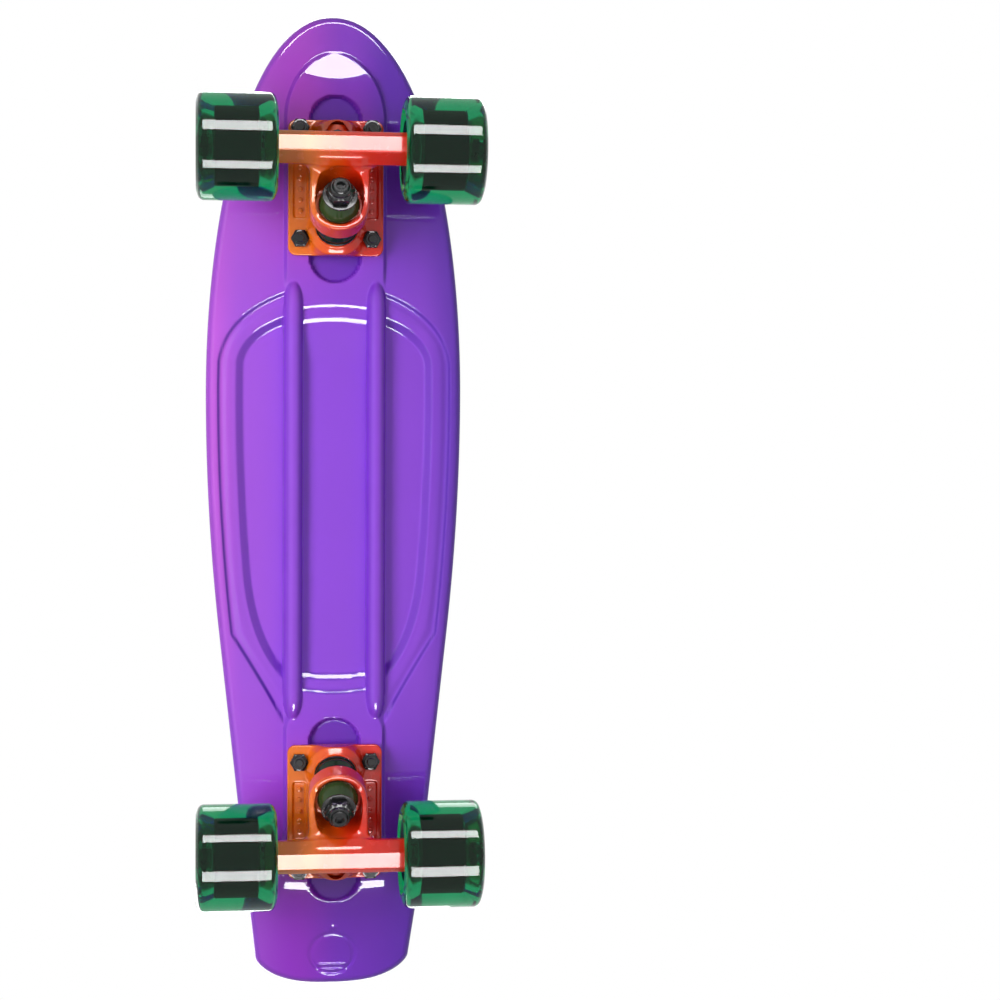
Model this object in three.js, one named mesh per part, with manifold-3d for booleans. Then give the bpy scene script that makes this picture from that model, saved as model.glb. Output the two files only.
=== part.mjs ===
// Cruiser skateboard: a moulded plastic deck on two kingpin trucks with four soft wheels.
// Millimetres. +X points to the nose, +Y to the rider's left, +Z up.
// The origin lies on the ground, under the middle of the deck's length.
import * as THREE from 'three';
import { mergeVertices } from 'three/addons/utils/BufferGeometryUtils.js';
import Module from 'manifold-3d';

const wasm = await Module();
wasm.setup();

// Deck outline and side view
const deck_length = 571.5;
const deck_width = 149;
const widest_setback = 136;
const nose_fullness_share = 2.12;
const taper_bend_length = 138;
const taper_slope_share = 0.11;
const tail_corner_length = 17;
const tail_corner_shares = [1.6, 2.8];
const shell_thickness = 8;
const concave_depth = 6;
const nose_bend_length = 40;
const nose_angle_deg = 18.8;
const tail_bend_length = 22;
const tail_angle_deg = 21;
const flat_margin = 2;

// Deck rim
const rim_top_radius = 3.5;
const rim_bottom_radius = 4;

// Deck underside
const pad_height = 2;
const pad_width = 58;
const pad_nose_reach = 44;
const pad_inner_reach = 5;
const slot_width = 31;
const slot_depth = 4;
const slot_inner_reach = 15;
const slot_outer_reach = 15;
const frame_inset = 6.5;
const frame_depth = 1.8;
const panel_inset = 18;
const panel_depth = 2.2;
const frame_gap = 20.5;
const frame_front_slant = 20;
const frame_rear_slant = 43;
const panel_end_gap = 15;
const frame_front_step = 9;
const frame_rear_step = 10.5;
const panel_step = 2.3;
const end_bow = 2.4;
const rib_spread = 48;
const rib_radius = 5;
const rib_sink = 1.2;
const rib_end_length = 13;
const rib_overhang = 6;
const tail_ring_radius = 13;
const tail_ring_depth = 0.8;
const tail_ring_edge_gap = 11.5;
const gate_nub_radius = 1.6;
const gate_nub_height = 0.7;
const gate_nub_gap = 14;

// Deck top
const pad_disc_diameter = 17;
const pad_disc_height = 1.1;
const centre_disc_height = 0.6;
const grip_border = 8.5;
const grip_depth = 1.3;
const grip_crest_depth = 0.35;
const grip_centre_setback = 5;
const grip_groove_radii = [24, 41];
const grip_groove_width = 1.2;
const grip_first_radius = 53.5;
const grip_pitch = 5.55;
const grip_rib_width = 2;
const top_sink = 3;

// Truck places
const nose_overhang = 84.8;
const tail_overhang = 90.5;
const axle_offset = 15;
const axle_drop = 48;
const bolt_spacing_long = 63.5;
const bolt_spacing_wide = 41.3;

// Baseplate
const base_width = 55;
const base_inner_margin = 9.7;
const base_outer_margin = 5;
const base_corner_radius = 4;
const base_thickness = 4.5;
const base_bevel = 1;
const spine_width = 27;
const spine_height = 3;
const king_boss_radius = 12.6;
const king_boss_foot_radius = 15.5;
const pivot_boss_radius = 10.5;

// Steering geometry
const kingpin_tilt_deg = 25;
const ring_offset = -17.5;
const ring_drop = 30;
const pivot_offset = 24;
const pivot_drop = 12;

// Kingpin, washers, bushings
const kingpin_diameter = 9.5;
const kingpin_head_diameter = 15;
const kingpin_head_height = 5;
const kingpin_end_reach = 1.5;
const kingpin_socket_radius = 2.4;
const kingpin_socket_depth = 2;
const king_nut_flats = 14.3;
const king_nut_height = 5.5;
const king_nut_collar_radius = 6.3;
const king_nut_collar_height = 3;
const washer_thickness = 1.2;
const road_washer_radius = 10;
const board_washer_radius = 12.2;
const board_bushing_height = 14;
const board_bushing_radius = 12;
const board_bushing_waist = 10.8;
const road_bushing_height = 11;
const road_bushing_radius = 12;
const road_bushing_top_radius = 9;
const bushing_bore_gap = 0.5;

// Hanger
const hanger_width = 88;
const ring_thickness = 8;
const ring_radius = 16;
const ring_pocket_radius = 13.5;
const ring_hole_radius = 7;
const ring_wall_height = 3.5;
const bar_half_length = 9.2;
const bar_half_height = 8.7;
const bar_facet_width = 8.7;
const bar_facet_shift = 1.2;
const bar_facet_tilt_deg = 8;
const web_width = 25;
const web_toe_share = 0.8;
const shoulder_radius = 8;
const shoulder_height = 12;
const stub_radius = 5.6;
const stub_root_radius = 6.8;
const stub_root_reach = 20;
const cup_radius = 8.2;
const cup_length = 11;
const cup_floor = 2.5;

// Axle, bearings and wheels
const axle_diameter = 8;
const axle_end_reach = 1.2;
const axle_nut_flats = 12.7;
const axle_nut_height = 6;
const speed_ring_radius = 5.6;
const speed_ring_thickness = 0.8;
const bearing_diameter = 22;
const bearing_width = 7;
const inner_race_radius = 6;
const race_gap = 0.5;
const bearing_spacing = 10;
const wheel_diameter = 60;
const wheel_width = 45;
const wheel_lip_radius = 6;
const wheel_face_radius = 22.5;
const wheel_face_sink = 1;
const core_radius = 17;
const core_shoulder_radius = 8.5;

// Mounting bolts
const bolt_diameter = 4.8;
const bolt_head_radius = 4.9;
const bolt_head_height = 2.8;
const bolt_head_edge = 0.9;
const bolt_socket_flats = 3.2;
const bolt_socket_depth = 1.5;
const bolt_nut_flats = 9.5;
const bolt_nut_height = 4.5;
const bolt_end_reach = 1.5;
const bolt_hole_gap = 0.35;

// Clearances, cuts and smoothness
const seat_gap = 0.3;
const overrun = 20;
const weld_distance = 1e-4;
const outline_steps_count = 40;
const grip_sides_count = 48;
const wheel_sides_count = 24;
const pin_sides_count = 14;
const small_sides_count = 10;
const bolt_sides_count = 8;
const arc_steps_count = 4;

// Colours
const deck_purple = { color: 0x9a5ae0, roughness: 0.25, metalness: 0 };
const truck_orange = { color: 0xe8501a, roughness: 0.22, metalness: 0.8 };
const bushing_green = { color: 0x1f4a2a, roughness: 0.45, metalness: 0 };
const steel_black = { color: 0x18181b, roughness: 0.4, metalness: 0.7 };
const steel_bright = { color: 0xb8bcc0, roughness: 0.3, metalness: 0.9 };
const wheel_green = { color: 0x0b7a45, roughness: 0.2, metalness: 0 };
const core_black = { color: 0x14201a, roughness: 0.5, metalness: 0 };
const cup_black = { color: 0x202022, roughness: 0.7, metalness: 0 };

// Values worked out from the sizes above
const radians = THREE.MathUtils.degToRad;
const wheel_radius = wheel_diameter / 2;
const pad_z = wheel_radius + axle_drop;
const shell_bottom_z = pad_z + pad_height;
const deck_top_z = shell_bottom_z + shell_thickness;
const front_axle_x = deck_length / 2 - nose_overhang;
const rear_axle_x = tail_overhang - deck_length / 2;
const widest_x = front_axle_x - widest_setback;
const truck_shift = (front_axle_x + rear_axle_x) / 2;
const pattern_x = (front_axle_x - rear_axle_x) / 2 - axle_offset;
const base_inner_x = -bolt_spacing_long / 2 - base_inner_margin;
const base_outer_x = bolt_spacing_long / 2 + base_outer_margin;
const frame_front_x = truck_shift + pattern_x + base_inner_x - frame_gap;
const frame_rear_x = truck_shift - pattern_x - base_inner_x + frame_gap;
const nose_bend_x = truck_shift + pattern_x + base_outer_x + flat_margin;
const tail_bend_x = truck_shift - pattern_x - base_outer_x - flat_margin;
const board_side_reach = ring_thickness / 2 + seat_gap + board_bushing_height + seat_gap;
const king_seat_reach = board_side_reach + washer_thickness + seat_gap;
const road_washer_reach = ring_thickness / 2 + seat_gap + road_bushing_height + seat_gap;
const king_nut_reach = road_washer_reach + washer_thickness + seat_gap;
const kingpin_end = king_nut_reach + king_nut_height + king_nut_collar_height + kingpin_end_reach;
const steer_run = pivot_offset - ring_offset;
const steer_rise = ring_drop - pivot_drop;
const steer_angle = Math.atan2(steer_rise, steer_run);
const steer_length = Math.hypot(steer_run, steer_rise);
const bearing_offset = (bearing_spacing + bearing_width) / 2;
const bearing_reach = bearing_spacing / 2 + bearing_width;
const speed_ring_reach = bearing_reach + seat_gap;
const hub_reach = speed_ring_reach + speed_ring_thickness + seat_gap;
const wheel_y = hanger_width / 2 + hub_reach;
const axle_end = wheel_y + hub_reach + axle_nut_height + axle_end_reach;

// Frames inside a truck: the ring's centre with +Z up the kingpin, and the steering axis along +X
const kingpin_frame = new THREE.Matrix4()
  .makeTranslation(ring_offset, 0, -ring_drop)
  .multiply(new THREE.Matrix4().makeRotationY(-radians(kingpin_tilt_deg)));
const steer_frame = new THREE.Matrix4()
  .makeTranslation(ring_offset, 0, -ring_drop)
  .multiply(new THREE.Matrix4().makeRotationY(-steer_angle));

// A solid for joining and cutting, with its faces turned outwards
function solid(geometry) {
  const bare = geometry.clone();
  bare.deleteAttribute('normal');
  bare.deleteAttribute('uv');
  const merged = mergeVertices(bare, weld_distance);
  const corners = merged.getAttribute('position').array;
  const index = merged.getIndex().array;
  const kept = [];
  let volume = 0;
  const a = new THREE.Vector3();
  const b = new THREE.Vector3();
  const c = new THREE.Vector3();
  for (let i = 0; i < index.length; i += 3) {
    const [p, q, r] = [index[i], index[i + 1], index[i + 2]];
    if (p !== q && q !== r && r !== p) {
      kept.push(p, q, r);
      a.fromArray(corners, p * 3);
      b.fromArray(corners, q * 3);
      c.fromArray(corners, r * 3);
      volume += a.dot(b.cross(c));
    }
  }
  if (volume < 0) {
    kept.reverse();
  }
  return new wasm.Manifold(new wasm.Mesh({
    numProp: 3,
    vertProperties: new Float32Array(corners),
    triVerts: new Uint32Array(kept),
  }));
}

function joined(...solids) {
  return solids.reduce((whole, next) => whole.add(next));
}

// A named piece of the board from its solid
function piece(name, body, look) {
  const mesh = body.getMesh();
  const geometry = new THREE.BufferGeometry();
  geometry.setAttribute('position', new THREE.BufferAttribute(mesh.vertProperties, 3));
  geometry.setIndex(new THREE.BufferAttribute(mesh.triVerts, 1));
  geometry.computeVertexNormals();
  const result = new THREE.Mesh(geometry, new THREE.MeshStandardMaterial(look));
  result.name = name;
  return result;
}

// A body turned about Y from a closed profile of [radius, y] points
function turned(points, sides) {
  const profile = points.map(([radius, y]) => new THREE.Vector2(radius, y));
  const first = profile[0];
  const last = profile[profile.length - 1];
  if (first.x > 0 || last.x > 0) {
    profile.push(first.clone());
  }
  return new THREE.LatheGeometry(profile, sides);
}

// The same, turned about Z
function turnedZ(points, sides) {
  return turned(points, sides).rotateX(Math.PI / 2);
}

// The same, turned about X
function turnedX(points, sides) {
  return turned(points, sides).rotateZ(-Math.PI / 2);
}

function rod(radius, low, high) {
  return [[0, low], [radius, low], [radius, high], [0, high]];
}

function tube(inner, outer, low, high) {
  return [[inner, low], [outer, low], [outer, high], [inner, high]];
}

// A six-sided prism along Z
function hexPrism(flats, low, high) {
  const prism = new THREE.CylinderGeometry(flats / Math.sqrt(3), flats / Math.sqrt(3), high - low, 6);
  return prism.rotateX(Math.PI / 2).translate(0, 0, (low + high) / 2);
}

// A plan outline raised along Z
function raised(shape, low, high, steps = arc_steps_count) {
  const options = { depth: high - low, bevelEnabled: false, curveSegments: steps };
  return new THREE.ExtrudeGeometry(shape, options).translate(0, 0, low);
}

// A side view in X and Z, given width along Y
function widened(points, width) {
  const shape = new THREE.Shape(points.map(([x, z]) => new THREE.Vector2(x, z)));
  const options = { depth: width, bevelEnabled: false };
  return new THREE.ExtrudeGeometry(shape, options).translate(0, 0, -width / 2).rotateX(Math.PI / 2);
}

// An end view in Y and Z, given length along X
function lengthened(points, from, to) {
  const shape = new THREE.Shape(points.map(([y, z]) => new THREE.Vector2(y, z)));
  const options = { depth: to - from, bevelEnabled: false };
  const turn = new THREE.Matrix4().makeBasis(
    new THREE.Vector3(0, 1, 0),
    new THREE.Vector3(0, 0, 1),
    new THREE.Vector3(1, 0, 0),
  );
  return new THREE.ExtrudeGeometry(shape, options).applyMatrix4(turn).translate(from, 0, 0);
}

// A rectangle with round corners between two X places
function roundedPlate(from, to, width, radius) {
  const shape = new THREE.Shape();
  const side = width / 2;
  shape.moveTo(from + radius, -side);
  shape.lineTo(to - radius, -side);
  shape.absarc(to - radius, -side + radius, radius, -Math.PI / 2, 0);
  shape.lineTo(to, side - radius);
  shape.absarc(to - radius, side - radius, radius, 0, Math.PI / 2);
  shape.lineTo(from + radius, side);
  shape.absarc(from + radius, side - radius, radius, Math.PI / 2, Math.PI);
  shape.lineTo(from, -side + radius);
  shape.absarc(from + radius, -side + radius, radius, Math.PI, Math.PI * 1.5);
  return shape;
}

// Half width of the deck's outline at x
function halfWidth(x) {
  const half_length = deck_length / 2;
  if (x > widest_x) {
    const share = Math.min((x - widest_x) / (half_length - widest_x), 1);
    return deck_width / 2 * (1 - share ** 2) ** (1 / nose_fullness_share);
  }
  const run = widest_x - x;
  const bend = Math.min(run, taper_bend_length);
  const drop = taper_slope_share * (bend ** 2 / taper_bend_length / 2 + run - bend);
  const corner = Math.max((half_length - tail_corner_length) * -1 - x, 0) / tail_corner_length;
  const [sharp_share, round_share] = tail_corner_shares;
  const corner_share = (1 - Math.min(corner, 1) ** sharp_share) ** (1 / round_share);
  return (deck_width / 2 - drop) * corner_share;
}

// Height that the nose or tail gains after its bend
function endRise(run, bend, angle_deg) {
  const inside = Math.min(Math.max(run, 0), bend);
  return Math.tan(radians(angle_deg)) * (inside ** 2 / bend / 2 + Math.max(run - bend, 0));
}

function deckRise(x) {
  const nose = endRise(x - nose_bend_x, nose_bend_length, nose_angle_deg);
  const tail = endRise(tail_bend_x - x, tail_bend_length, tail_angle_deg);
  return nose + tail;
}

function concave(y) {
  return concave_depth * (2 * y / deck_width) ** 2;
}

// Points of the outline from the nose tip round the left side to the tail, and back on the right
function outlinePoints() {
  const points = [];
  for (let i = 0; i < 2 * outline_steps_count; i += 1) {
    const angle = Math.PI * i / outline_steps_count;
    const x = deck_length / 2 * Math.cos(angle);
    const y = halfWidth(x) * Math.sign(Math.sin(angle));
    const tip = i % outline_steps_count === 0;
    points.push(new THREE.Vector2(x, tip ? 0 : y));
  }
  return points;
}

// The outline drawn in by a distance square to itself
function drawnIn(points, distance) {
  return points.map((point, i) => {
    const before = points[(i + points.length - 1) % points.length];
    const after = points[(i + 1) % points.length];
    const along = after.clone().sub(before).normalize();
    return new THREE.Vector2(point.x - along.y * distance, point.y + along.x * distance);
  });
}

// The shell of the deck: loops of the outline from the underside's middle line to the top's
function deckShell() {
  const outline = outlinePoints();
  const fall = (angle) => 1 - Math.cos(angle);
  const loops = [];
  const addLoop = (inset, width_share, base, lift) => {
    const drawn = drawnIn(outline, inset);
    loops.push(drawn.map(({ x, y }) => {
      const z = base + deckRise(x) + concave(y * width_share) + lift;
      return [x, y * width_share, z];
    }));
  };
  const inner_shares = [0, 0.35, 0.7];
  const edge_angles = [0, Math.PI / 4, Math.PI / 2];
  for (const share of inner_shares) {
    addLoop(rim_bottom_radius * 2, share, shell_bottom_z, 0);
  }
  for (const angle of edge_angles) {
    const inset = rim_bottom_radius * (1 - Math.sin(angle));
    addLoop(inset, 1, shell_bottom_z, rim_bottom_radius * fall(angle));
  }
  for (const angle of edge_angles.toReversed()) {
    const inset = rim_top_radius * (1 - Math.sin(angle));
    addLoop(inset, 1, deck_top_z, -rim_top_radius * fall(angle));
  }
  for (const share of inner_shares.toReversed()) {
    addLoop(rim_top_radius * 2, share, deck_top_z, 0);
  }
  const count = outline.length;
  const index = [];
  for (let j = 0; j + 1 < loops.length; j += 1) {
    for (let i = 0; i < count; i += 1) {
      const next = (i + 1) % count;
      const [a, b] = [j * count + i, j * count + next];
      const [c, d] = [a + count, b + count];
      index.push(a, b, d, a, d, c);
    }
  }
  const geometry = new THREE.BufferGeometry();
  geometry.setAttribute('position', new THREE.Float32BufferAttribute(loops.flat(2), 3));
  geometry.setIndex(index);
  return solid(geometry);
}

// Everything under the shell's underside, up to a depth inside it, between two X places
function underShell(depth, from, to) {
  const points = [];
  for (let i = -arc_steps_count; i <= arc_steps_count; i += 1) {
    const y = deck_width / 2 * i / arc_steps_count;
    points.push([y, shell_bottom_z + depth + concave(y)]);
  }
  points.push([deck_width / 2, pad_z - overrun], [-deck_width / 2, pad_z - overrun]);
  return solid(lengthened(points, from, to));
}

// Plan of a recess that follows the deck's sides at an inset; between the ribs its ends step in and bow
function recessPlan(inset, front, rear, front_step, rear_step) {
  const side = (x) => halfWidth(x) - inset;
  const rib_y = rib_spread / 2;
  const end = rib_y + rib_radius;
  const front_side = front - 2 * frame_front_slant;
  const rear_side = rear + frame_rear_slant;
  const front_corner = front - frame_front_slant;
  const rear_corner = rear + frame_rear_slant / 2;
  const sides = [];
  for (let i = 0; i <= arc_steps_count; i += 1) {
    const x = front_side + (rear_side - front_side) * i / arc_steps_count;
    sides.push([x, side(x)]);
  }
  const shape = new THREE.Shape();
  shape.moveTo(front - front_step, -rib_y);
  shape.quadraticCurveTo(front - front_step + 2 * end_bow, 0, front - front_step, rib_y);
  shape.lineTo(front, rib_y);
  shape.lineTo(front, end);
  shape.quadraticCurveTo(front_corner, side(front_corner), ...sides[0]);
  for (const [x, y] of sides.slice(1)) {
    shape.lineTo(x, y);
  }
  shape.quadraticCurveTo(rear_corner, end + rib_radius, rear, end);
  shape.lineTo(rear, rib_y);
  shape.lineTo(rear + rear_step, rib_y);
  shape.quadraticCurveTo(rear + rear_step - 2 * end_bow, 0, rear + rear_step, -rib_y);
  shape.lineTo(rear, -rib_y);
  shape.lineTo(rear, -end);
  shape.quadraticCurveTo(rear_corner, -end - rib_radius, rear_side, -side(rear_side));
  for (const [x, y] of sides.slice(0, -1).toReversed()) {
    shape.lineTo(x, -y);
  }
  shape.quadraticCurveTo(front_corner, -side(front_corner), front, -end);
  shape.lineTo(front, -rib_y);
  return shape;
}

// One step of the recess between the trucks
function recess(inset, depth, shrink, front_step, rear_step) {
  const front = frame_front_x - shrink;
  const rear = frame_rear_x + shrink;
  const plan = recessPlan(inset, front, rear, front_step, rear_step);
  const prism = solid(raised(plan, pad_z - overrun, deck_top_z));
  return prism.intersect(underShell(depth, rear - end_bow, front + end_bow));
}

// A lengthwise stiffening rib with drawn-out round ends
function stiffeningRib(side) {
  const front = frame_front_x + rib_overhang;
  const rear = frame_rear_x - rib_overhang;
  const points = [];
  for (let i = 0; i <= arc_steps_count; i += 1) {
    const angle = Math.PI / 2 * i / arc_steps_count;
    const radius = rib_radius * Math.sin(angle);
    points.push([radius, rear + rib_end_length * (1 - Math.cos(angle))]);
  }
  const mirrored = points.map(([radius, x]) => [radius, front + rear - x]).toReversed();
  const bar = turnedX([...points, ...mirrored], bolt_sides_count);
  const z = shell_bottom_z + rib_sink;
  return solid(bar.translate(0, side * rib_spread / 2, z));
}

// The flat pad that a truck bolts to; it runs on under the nose or tail
function truckPad(centre, direction) {
  const inner = centre + direction * (base_inner_x - pad_inner_reach);
  const outer = centre + direction * (base_outer_x + pad_nose_reach);
  const [from, to] = [Math.min(inner, outer), Math.max(inner, outer)];
  const plan = solid(raised(padPlan(from, to, direction), pad_z, deck_top_z + overrun));
  const lower = [];
  const upper = [];
  const steps = 2 * arc_steps_count;
  for (let i = 0; i <= steps; i += 1) {
    const x = from + (to - from) * i / steps;
    lower.push([x, pad_z + deckRise(x)]);
    upper.push([x, shell_bottom_z + shell_thickness / 2 + deckRise(x)]);
  }
  return plan.intersect(solid(widened([...lower, ...upper.toReversed()], pad_width)));
}

// Plan of the pad: square by the recess, round towards the tip
function padPlan(from, to, direction) {
  const side = pad_width / 2;
  const shape = new THREE.Shape();
  if (direction > 0) {
    shape.moveTo(from, -side);
    shape.lineTo(to - side, -side);
    shape.absarc(to - side, 0, side, -Math.PI / 2, Math.PI / 2);
    shape.lineTo(from, side);
  } else {
    shape.moveTo(to, side);
    shape.lineTo(from + side, side);
    shape.absarc(from + side, 0, side, Math.PI / 2, Math.PI * 1.5);
    shape.lineTo(to, -side);
  }
  return shape;
}

// The slot in the pad, over the kingpin's head
function kingpinSlot(centre, direction) {
  const inner = centre + direction * (base_inner_x - slot_inner_reach);
  const outer = centre + direction * (base_outer_x + slot_outer_reach);
  const [from, to] = [Math.min(inner, outer), Math.max(inner, outer)];
  const plan = roundedPlate(from, to, slot_width, slot_width / 2);
  return solid(raised(plan, pad_z - overrun, pad_z + slot_depth));
}

// Places of a truck's four bolts, in the truck's frame
function boltPlaces() {
  const places = [];
  for (const along of [1, -1]) {
    for (const across of [1, -1]) {
      places.push([along * bolt_spacing_long / 2, across * bolt_spacing_wide / 2]);
    }
  }
  return places;
}

// A disc that stands up from the deck's top
function topBoss(x, y, radius, height, sides) {
  const z = deck_top_z + concave(y);
  return solid(turnedZ(rod(radius, z - top_sink, z + height), sides).translate(x, y, 0));
}

// The grip pattern from its centre outwards, as [radius, depth under the deck's top]
function gripProfile() {
  const half_groove = grip_groove_width / 2;
  const half_rib = grip_rib_width / 2;
  const profile = [[0, grip_crest_depth]];
  for (const radius of grip_groove_radii) {
    profile.push([radius - half_groove, grip_crest_depth]);
    profile.push([radius, grip_depth]);
    profile.push([radius + half_groove, grip_crest_depth]);
  }
  profile.push([grip_first_radius - grip_pitch / 2, grip_crest_depth]);
  profile.push([grip_first_radius - half_rib - half_groove, grip_depth]);
  for (let r = grip_first_radius; r < deck_length / 2 + grip_pitch; r += grip_pitch) {
    profile.push([r - half_rib, grip_crest_depth]);
    profile.push([r + half_rib, grip_crest_depth]);
    profile.push([r + grip_pitch / 2, grip_depth]);
  }
  return profile;
}

// What is cut from the deck's top inside its border, so that the round grip ribs stay
function gripField() {
  const rows = gripProfile();
  const sides = grip_sides_count;
  const corners = [];
  for (const lift of [0, overrun]) {
    for (const [radius, depth] of rows) {
      for (let k = 0; k < sides; k += 1) {
        const angle = 2 * Math.PI * k / sides;
        const x = radius * Math.cos(angle) - grip_centre_setback;
        const y = radius * Math.sin(angle);
        corners.push(x, y, deck_top_z + deckRise(x) + concave(y) - depth + lift);
      }
    }
  }
  const index = [];
  const top = rows.length * sides;
  const last = top - sides;
  for (let k = 0; k < sides; k += 1) {
    const next = (k + 1) % sides;
    for (let low = 0; low < last; low += sides) {
      const [a, b, c, d] = [low + k, low + next, low + next + sides, low + k + sides];
      index.push(a, b, c, a, c, d);
      index.push(top + a, top + c, top + b, top + a, top + d, top + c);
    }
    const [e, f] = [last + k, last + next];
    index.push(e, f, top + f, e, top + f, top + e);
  }
  const geometry = new THREE.BufferGeometry();
  geometry.setAttribute('position', new THREE.Float32BufferAttribute(corners, 3));
  geometry.setIndex(index);
  const border = new THREE.Shape(drawnIn(outlinePoints(), grip_border));
  const inside = raised(border, pad_z, deck_top_z + deck_length);
  return solid(geometry).intersect(solid(inside));
}

function deckSolid() {
  let deck = deckShell();
  deck = deck.subtract(recess(frame_inset, frame_depth, 0, frame_front_step, frame_rear_step));
  deck = deck.subtract(gripField());
  const panel_total = frame_depth + panel_depth;
  deck = deck.subtract(recess(panel_inset, panel_total, panel_end_gap, panel_step, panel_step));
  deck = joined(deck, stiffeningRib(1), stiffeningRib(-1));
  for (const direction of [1, -1]) {
    const centre = truck_shift + direction * pattern_x;
    deck = deck.add(truckPad(centre, direction));
    deck = deck.subtract(kingpinSlot(centre, direction));
    for (const [along, across] of boltPlaces()) {
      const x = centre + along;
      const radius = pad_disc_diameter / 2;
      deck = deck.add(topBoss(x, across, radius, pad_disc_height, pin_sides_count));
    }
    for (const [along, across] of boltPlaces()) {
      const radius = bolt_diameter / 2 + bolt_hole_gap;
      const hole = turnedZ(rod(radius, pad_z - overrun, deck_top_z + overrun), bolt_sides_count);
      deck = deck.subtract(solid(hole.translate(centre + along, across, 0)));
    }
  }
  const disc_radius = grip_groove_radii[0] - grip_groove_width / 2;
  const disc = topBoss(-grip_centre_setback, 0, disc_radius, centre_disc_height, grip_sides_count);
  return deck.add(disc).subtract(tailRing()).add(gateNub());
}

// A shallow round recess under the tail, set square to the kicked face
function tailRing() {
  const x = -deck_length / 2 + tail_ring_edge_gap + tail_ring_radius;
  const points = rod(tail_ring_radius, -overrun, tail_ring_depth);
  const disc = turnedZ(points, wheel_sides_count).rotateY(radians(tail_angle_deg));
  return solid(disc.translate(x, 0, shell_bottom_z + deckRise(x)));
}

// The little nub left by the mould's gate
function gateNub() {
  const x = -deck_length / 2 + tail_ring_edge_gap + 2 * tail_ring_radius + gate_nub_gap;
  const points = rod(gate_nub_radius, -gate_nub_height, gate_nub_height);
  return solid(turnedZ(points, bolt_sides_count).translate(x, 0, shell_bottom_z + deckRise(x)));
}

// Baseplate: a bevelled plate with a spine, a leaning kingpin boss and a pivot boss
function baseplateSolid() {
  const level = -seat_gap;
  const plan = roundedPlate(base_inner_x, base_outer_x, base_width, base_corner_radius);
  const options = {
    depth: base_thickness - base_bevel,
    bevelEnabled: true,
    bevelThickness: base_bevel,
    bevelSize: base_bevel,
    bevelOffset: -base_bevel,
    bevelSegments: 1,
    curveSegments: arc_steps_count / 2,
  };
  const blank = new THREE.ExtrudeGeometry(plan, options);
  blank.translate(0, 0, level - base_thickness);
  const flat = raised(plan, level - base_thickness, level, arc_steps_count / 2);
  let base = solid(blank).intersect(solid(flat));
  const spine_bottom = level - base_thickness - spine_height;
  const spine = [
    [base_inner_x + base_bevel, level - base_thickness / 2],
    [base_inner_x + base_bevel, level - base_thickness],
    [base_inner_x + spine_height + base_bevel, spine_bottom],
    [base_outer_x - spine_height - base_bevel, spine_bottom],
    [base_outer_x - base_bevel, level - base_thickness],
    [base_outer_x - base_bevel, level - base_thickness / 2],
  ];
  base = base.add(solid(widened(spine, spine_width)));
  const axis_reach = ring_drop / Math.cos(radians(kingpin_tilt_deg)) + overrun;
  const boss = turnedZ([
    [0, king_seat_reach],
    [king_boss_radius, king_seat_reach],
    [king_boss_foot_radius, king_seat_reach + base_thickness],
    [king_boss_foot_radius, axis_reach],
    [0, axis_reach],
  ], pin_sides_count);
  base = base.add(solid(boss.applyMatrix4(kingpin_frame)));
  const pivot_from = steer_length - cup_length / 2 - cup_floor;
  const pivot_to = steer_length + cup_length / 2 + cup_floor;
  const pivot = turnedX(rod(pivot_boss_radius, pivot_from, pivot_to), pin_sides_count);
  const foot_z = level - base_thickness / 2;
  const foot = raised(
    roundedPlate(
      pivot_offset - cup_length / 2,
      base_outer_x - base_bevel,
      2 * pivot_boss_radius,
      base_corner_radius,
    ),
    -pivot_drop,
    foot_z,
    arc_steps_count / 2,
  );
  base = joined(base, solid(pivot.applyMatrix4(steer_frame)), solid(foot));
  const above = raised(
    roundedPlate(base_inner_x, base_outer_x, base_width, base_corner_radius),
    -ring_drop,
    level,
    arc_steps_count / 2,
  );
  base = base.intersect(solid(above));
  const seat = turnedZ(rod(king_boss_radius + seat_gap, 0, king_seat_reach), pin_sides_count);
  base = base.subtract(solid(seat.applyMatrix4(kingpin_frame)));
  const bore = turnedZ(rod(kingpin_diameter / 2 + seat_gap, 0, axis_reach), pin_sides_count);
  base = base.subtract(solid(bore.applyMatrix4(kingpin_frame)));
  const head = turnedZ(
    rod(kingpin_head_diameter / 2 + seat_gap, kingpinHeadReach() - seat_gap, axis_reach),
    pin_sides_count,
  );
  base = base.subtract(solid(head.applyMatrix4(kingpin_frame)));
  const cup_from = pivot_from - overrun;
  const cup_to = steer_length + cup_length / 2 + seat_gap;
  const cup = turnedX(rod(cup_radius + seat_gap, cup_from, cup_to), pin_sides_count);
  base = base.subtract(solid(cup.applyMatrix4(steer_frame)));
  for (const [along, across] of boltPlaces()) {
    const radius = bolt_diameter / 2 + bolt_hole_gap;
    const hole = turnedZ(rod(radius, -overrun, overrun), bolt_sides_count);
    base = base.subtract(solid(hole.translate(along, across, 0)));
  }
  return base;
}

// Distance from the ring's centre up the kingpin to the underside of its head
function kingpinHeadReach() {
  const lean = radians(kingpin_tilt_deg);
  const edge = kingpin_head_diameter / 2 + seat_gap;
  return (ring_drop - seat_gap) / Math.cos(lean) - kingpin_head_height - edge * Math.tan(lean);
}

function kingpinSolid() {
  const radius = kingpin_diameter / 2;
  const head_reach = kingpinHeadReach();
  const pin = turnedZ([
    [0, -kingpin_end + kingpin_socket_depth],
    [kingpin_socket_radius, -kingpin_end + kingpin_socket_depth],
    [kingpin_socket_radius, -kingpin_end],
    [radius - seat_gap, -kingpin_end],
    [radius, -kingpin_end + seat_gap],
    [radius, head_reach],
    [kingpin_head_diameter / 2, head_reach],
    [kingpin_head_diameter / 2, head_reach + kingpin_head_height],
    [0, head_reach + kingpin_head_height],
  ], pin_sides_count);
  return solid(pin);
}

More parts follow.
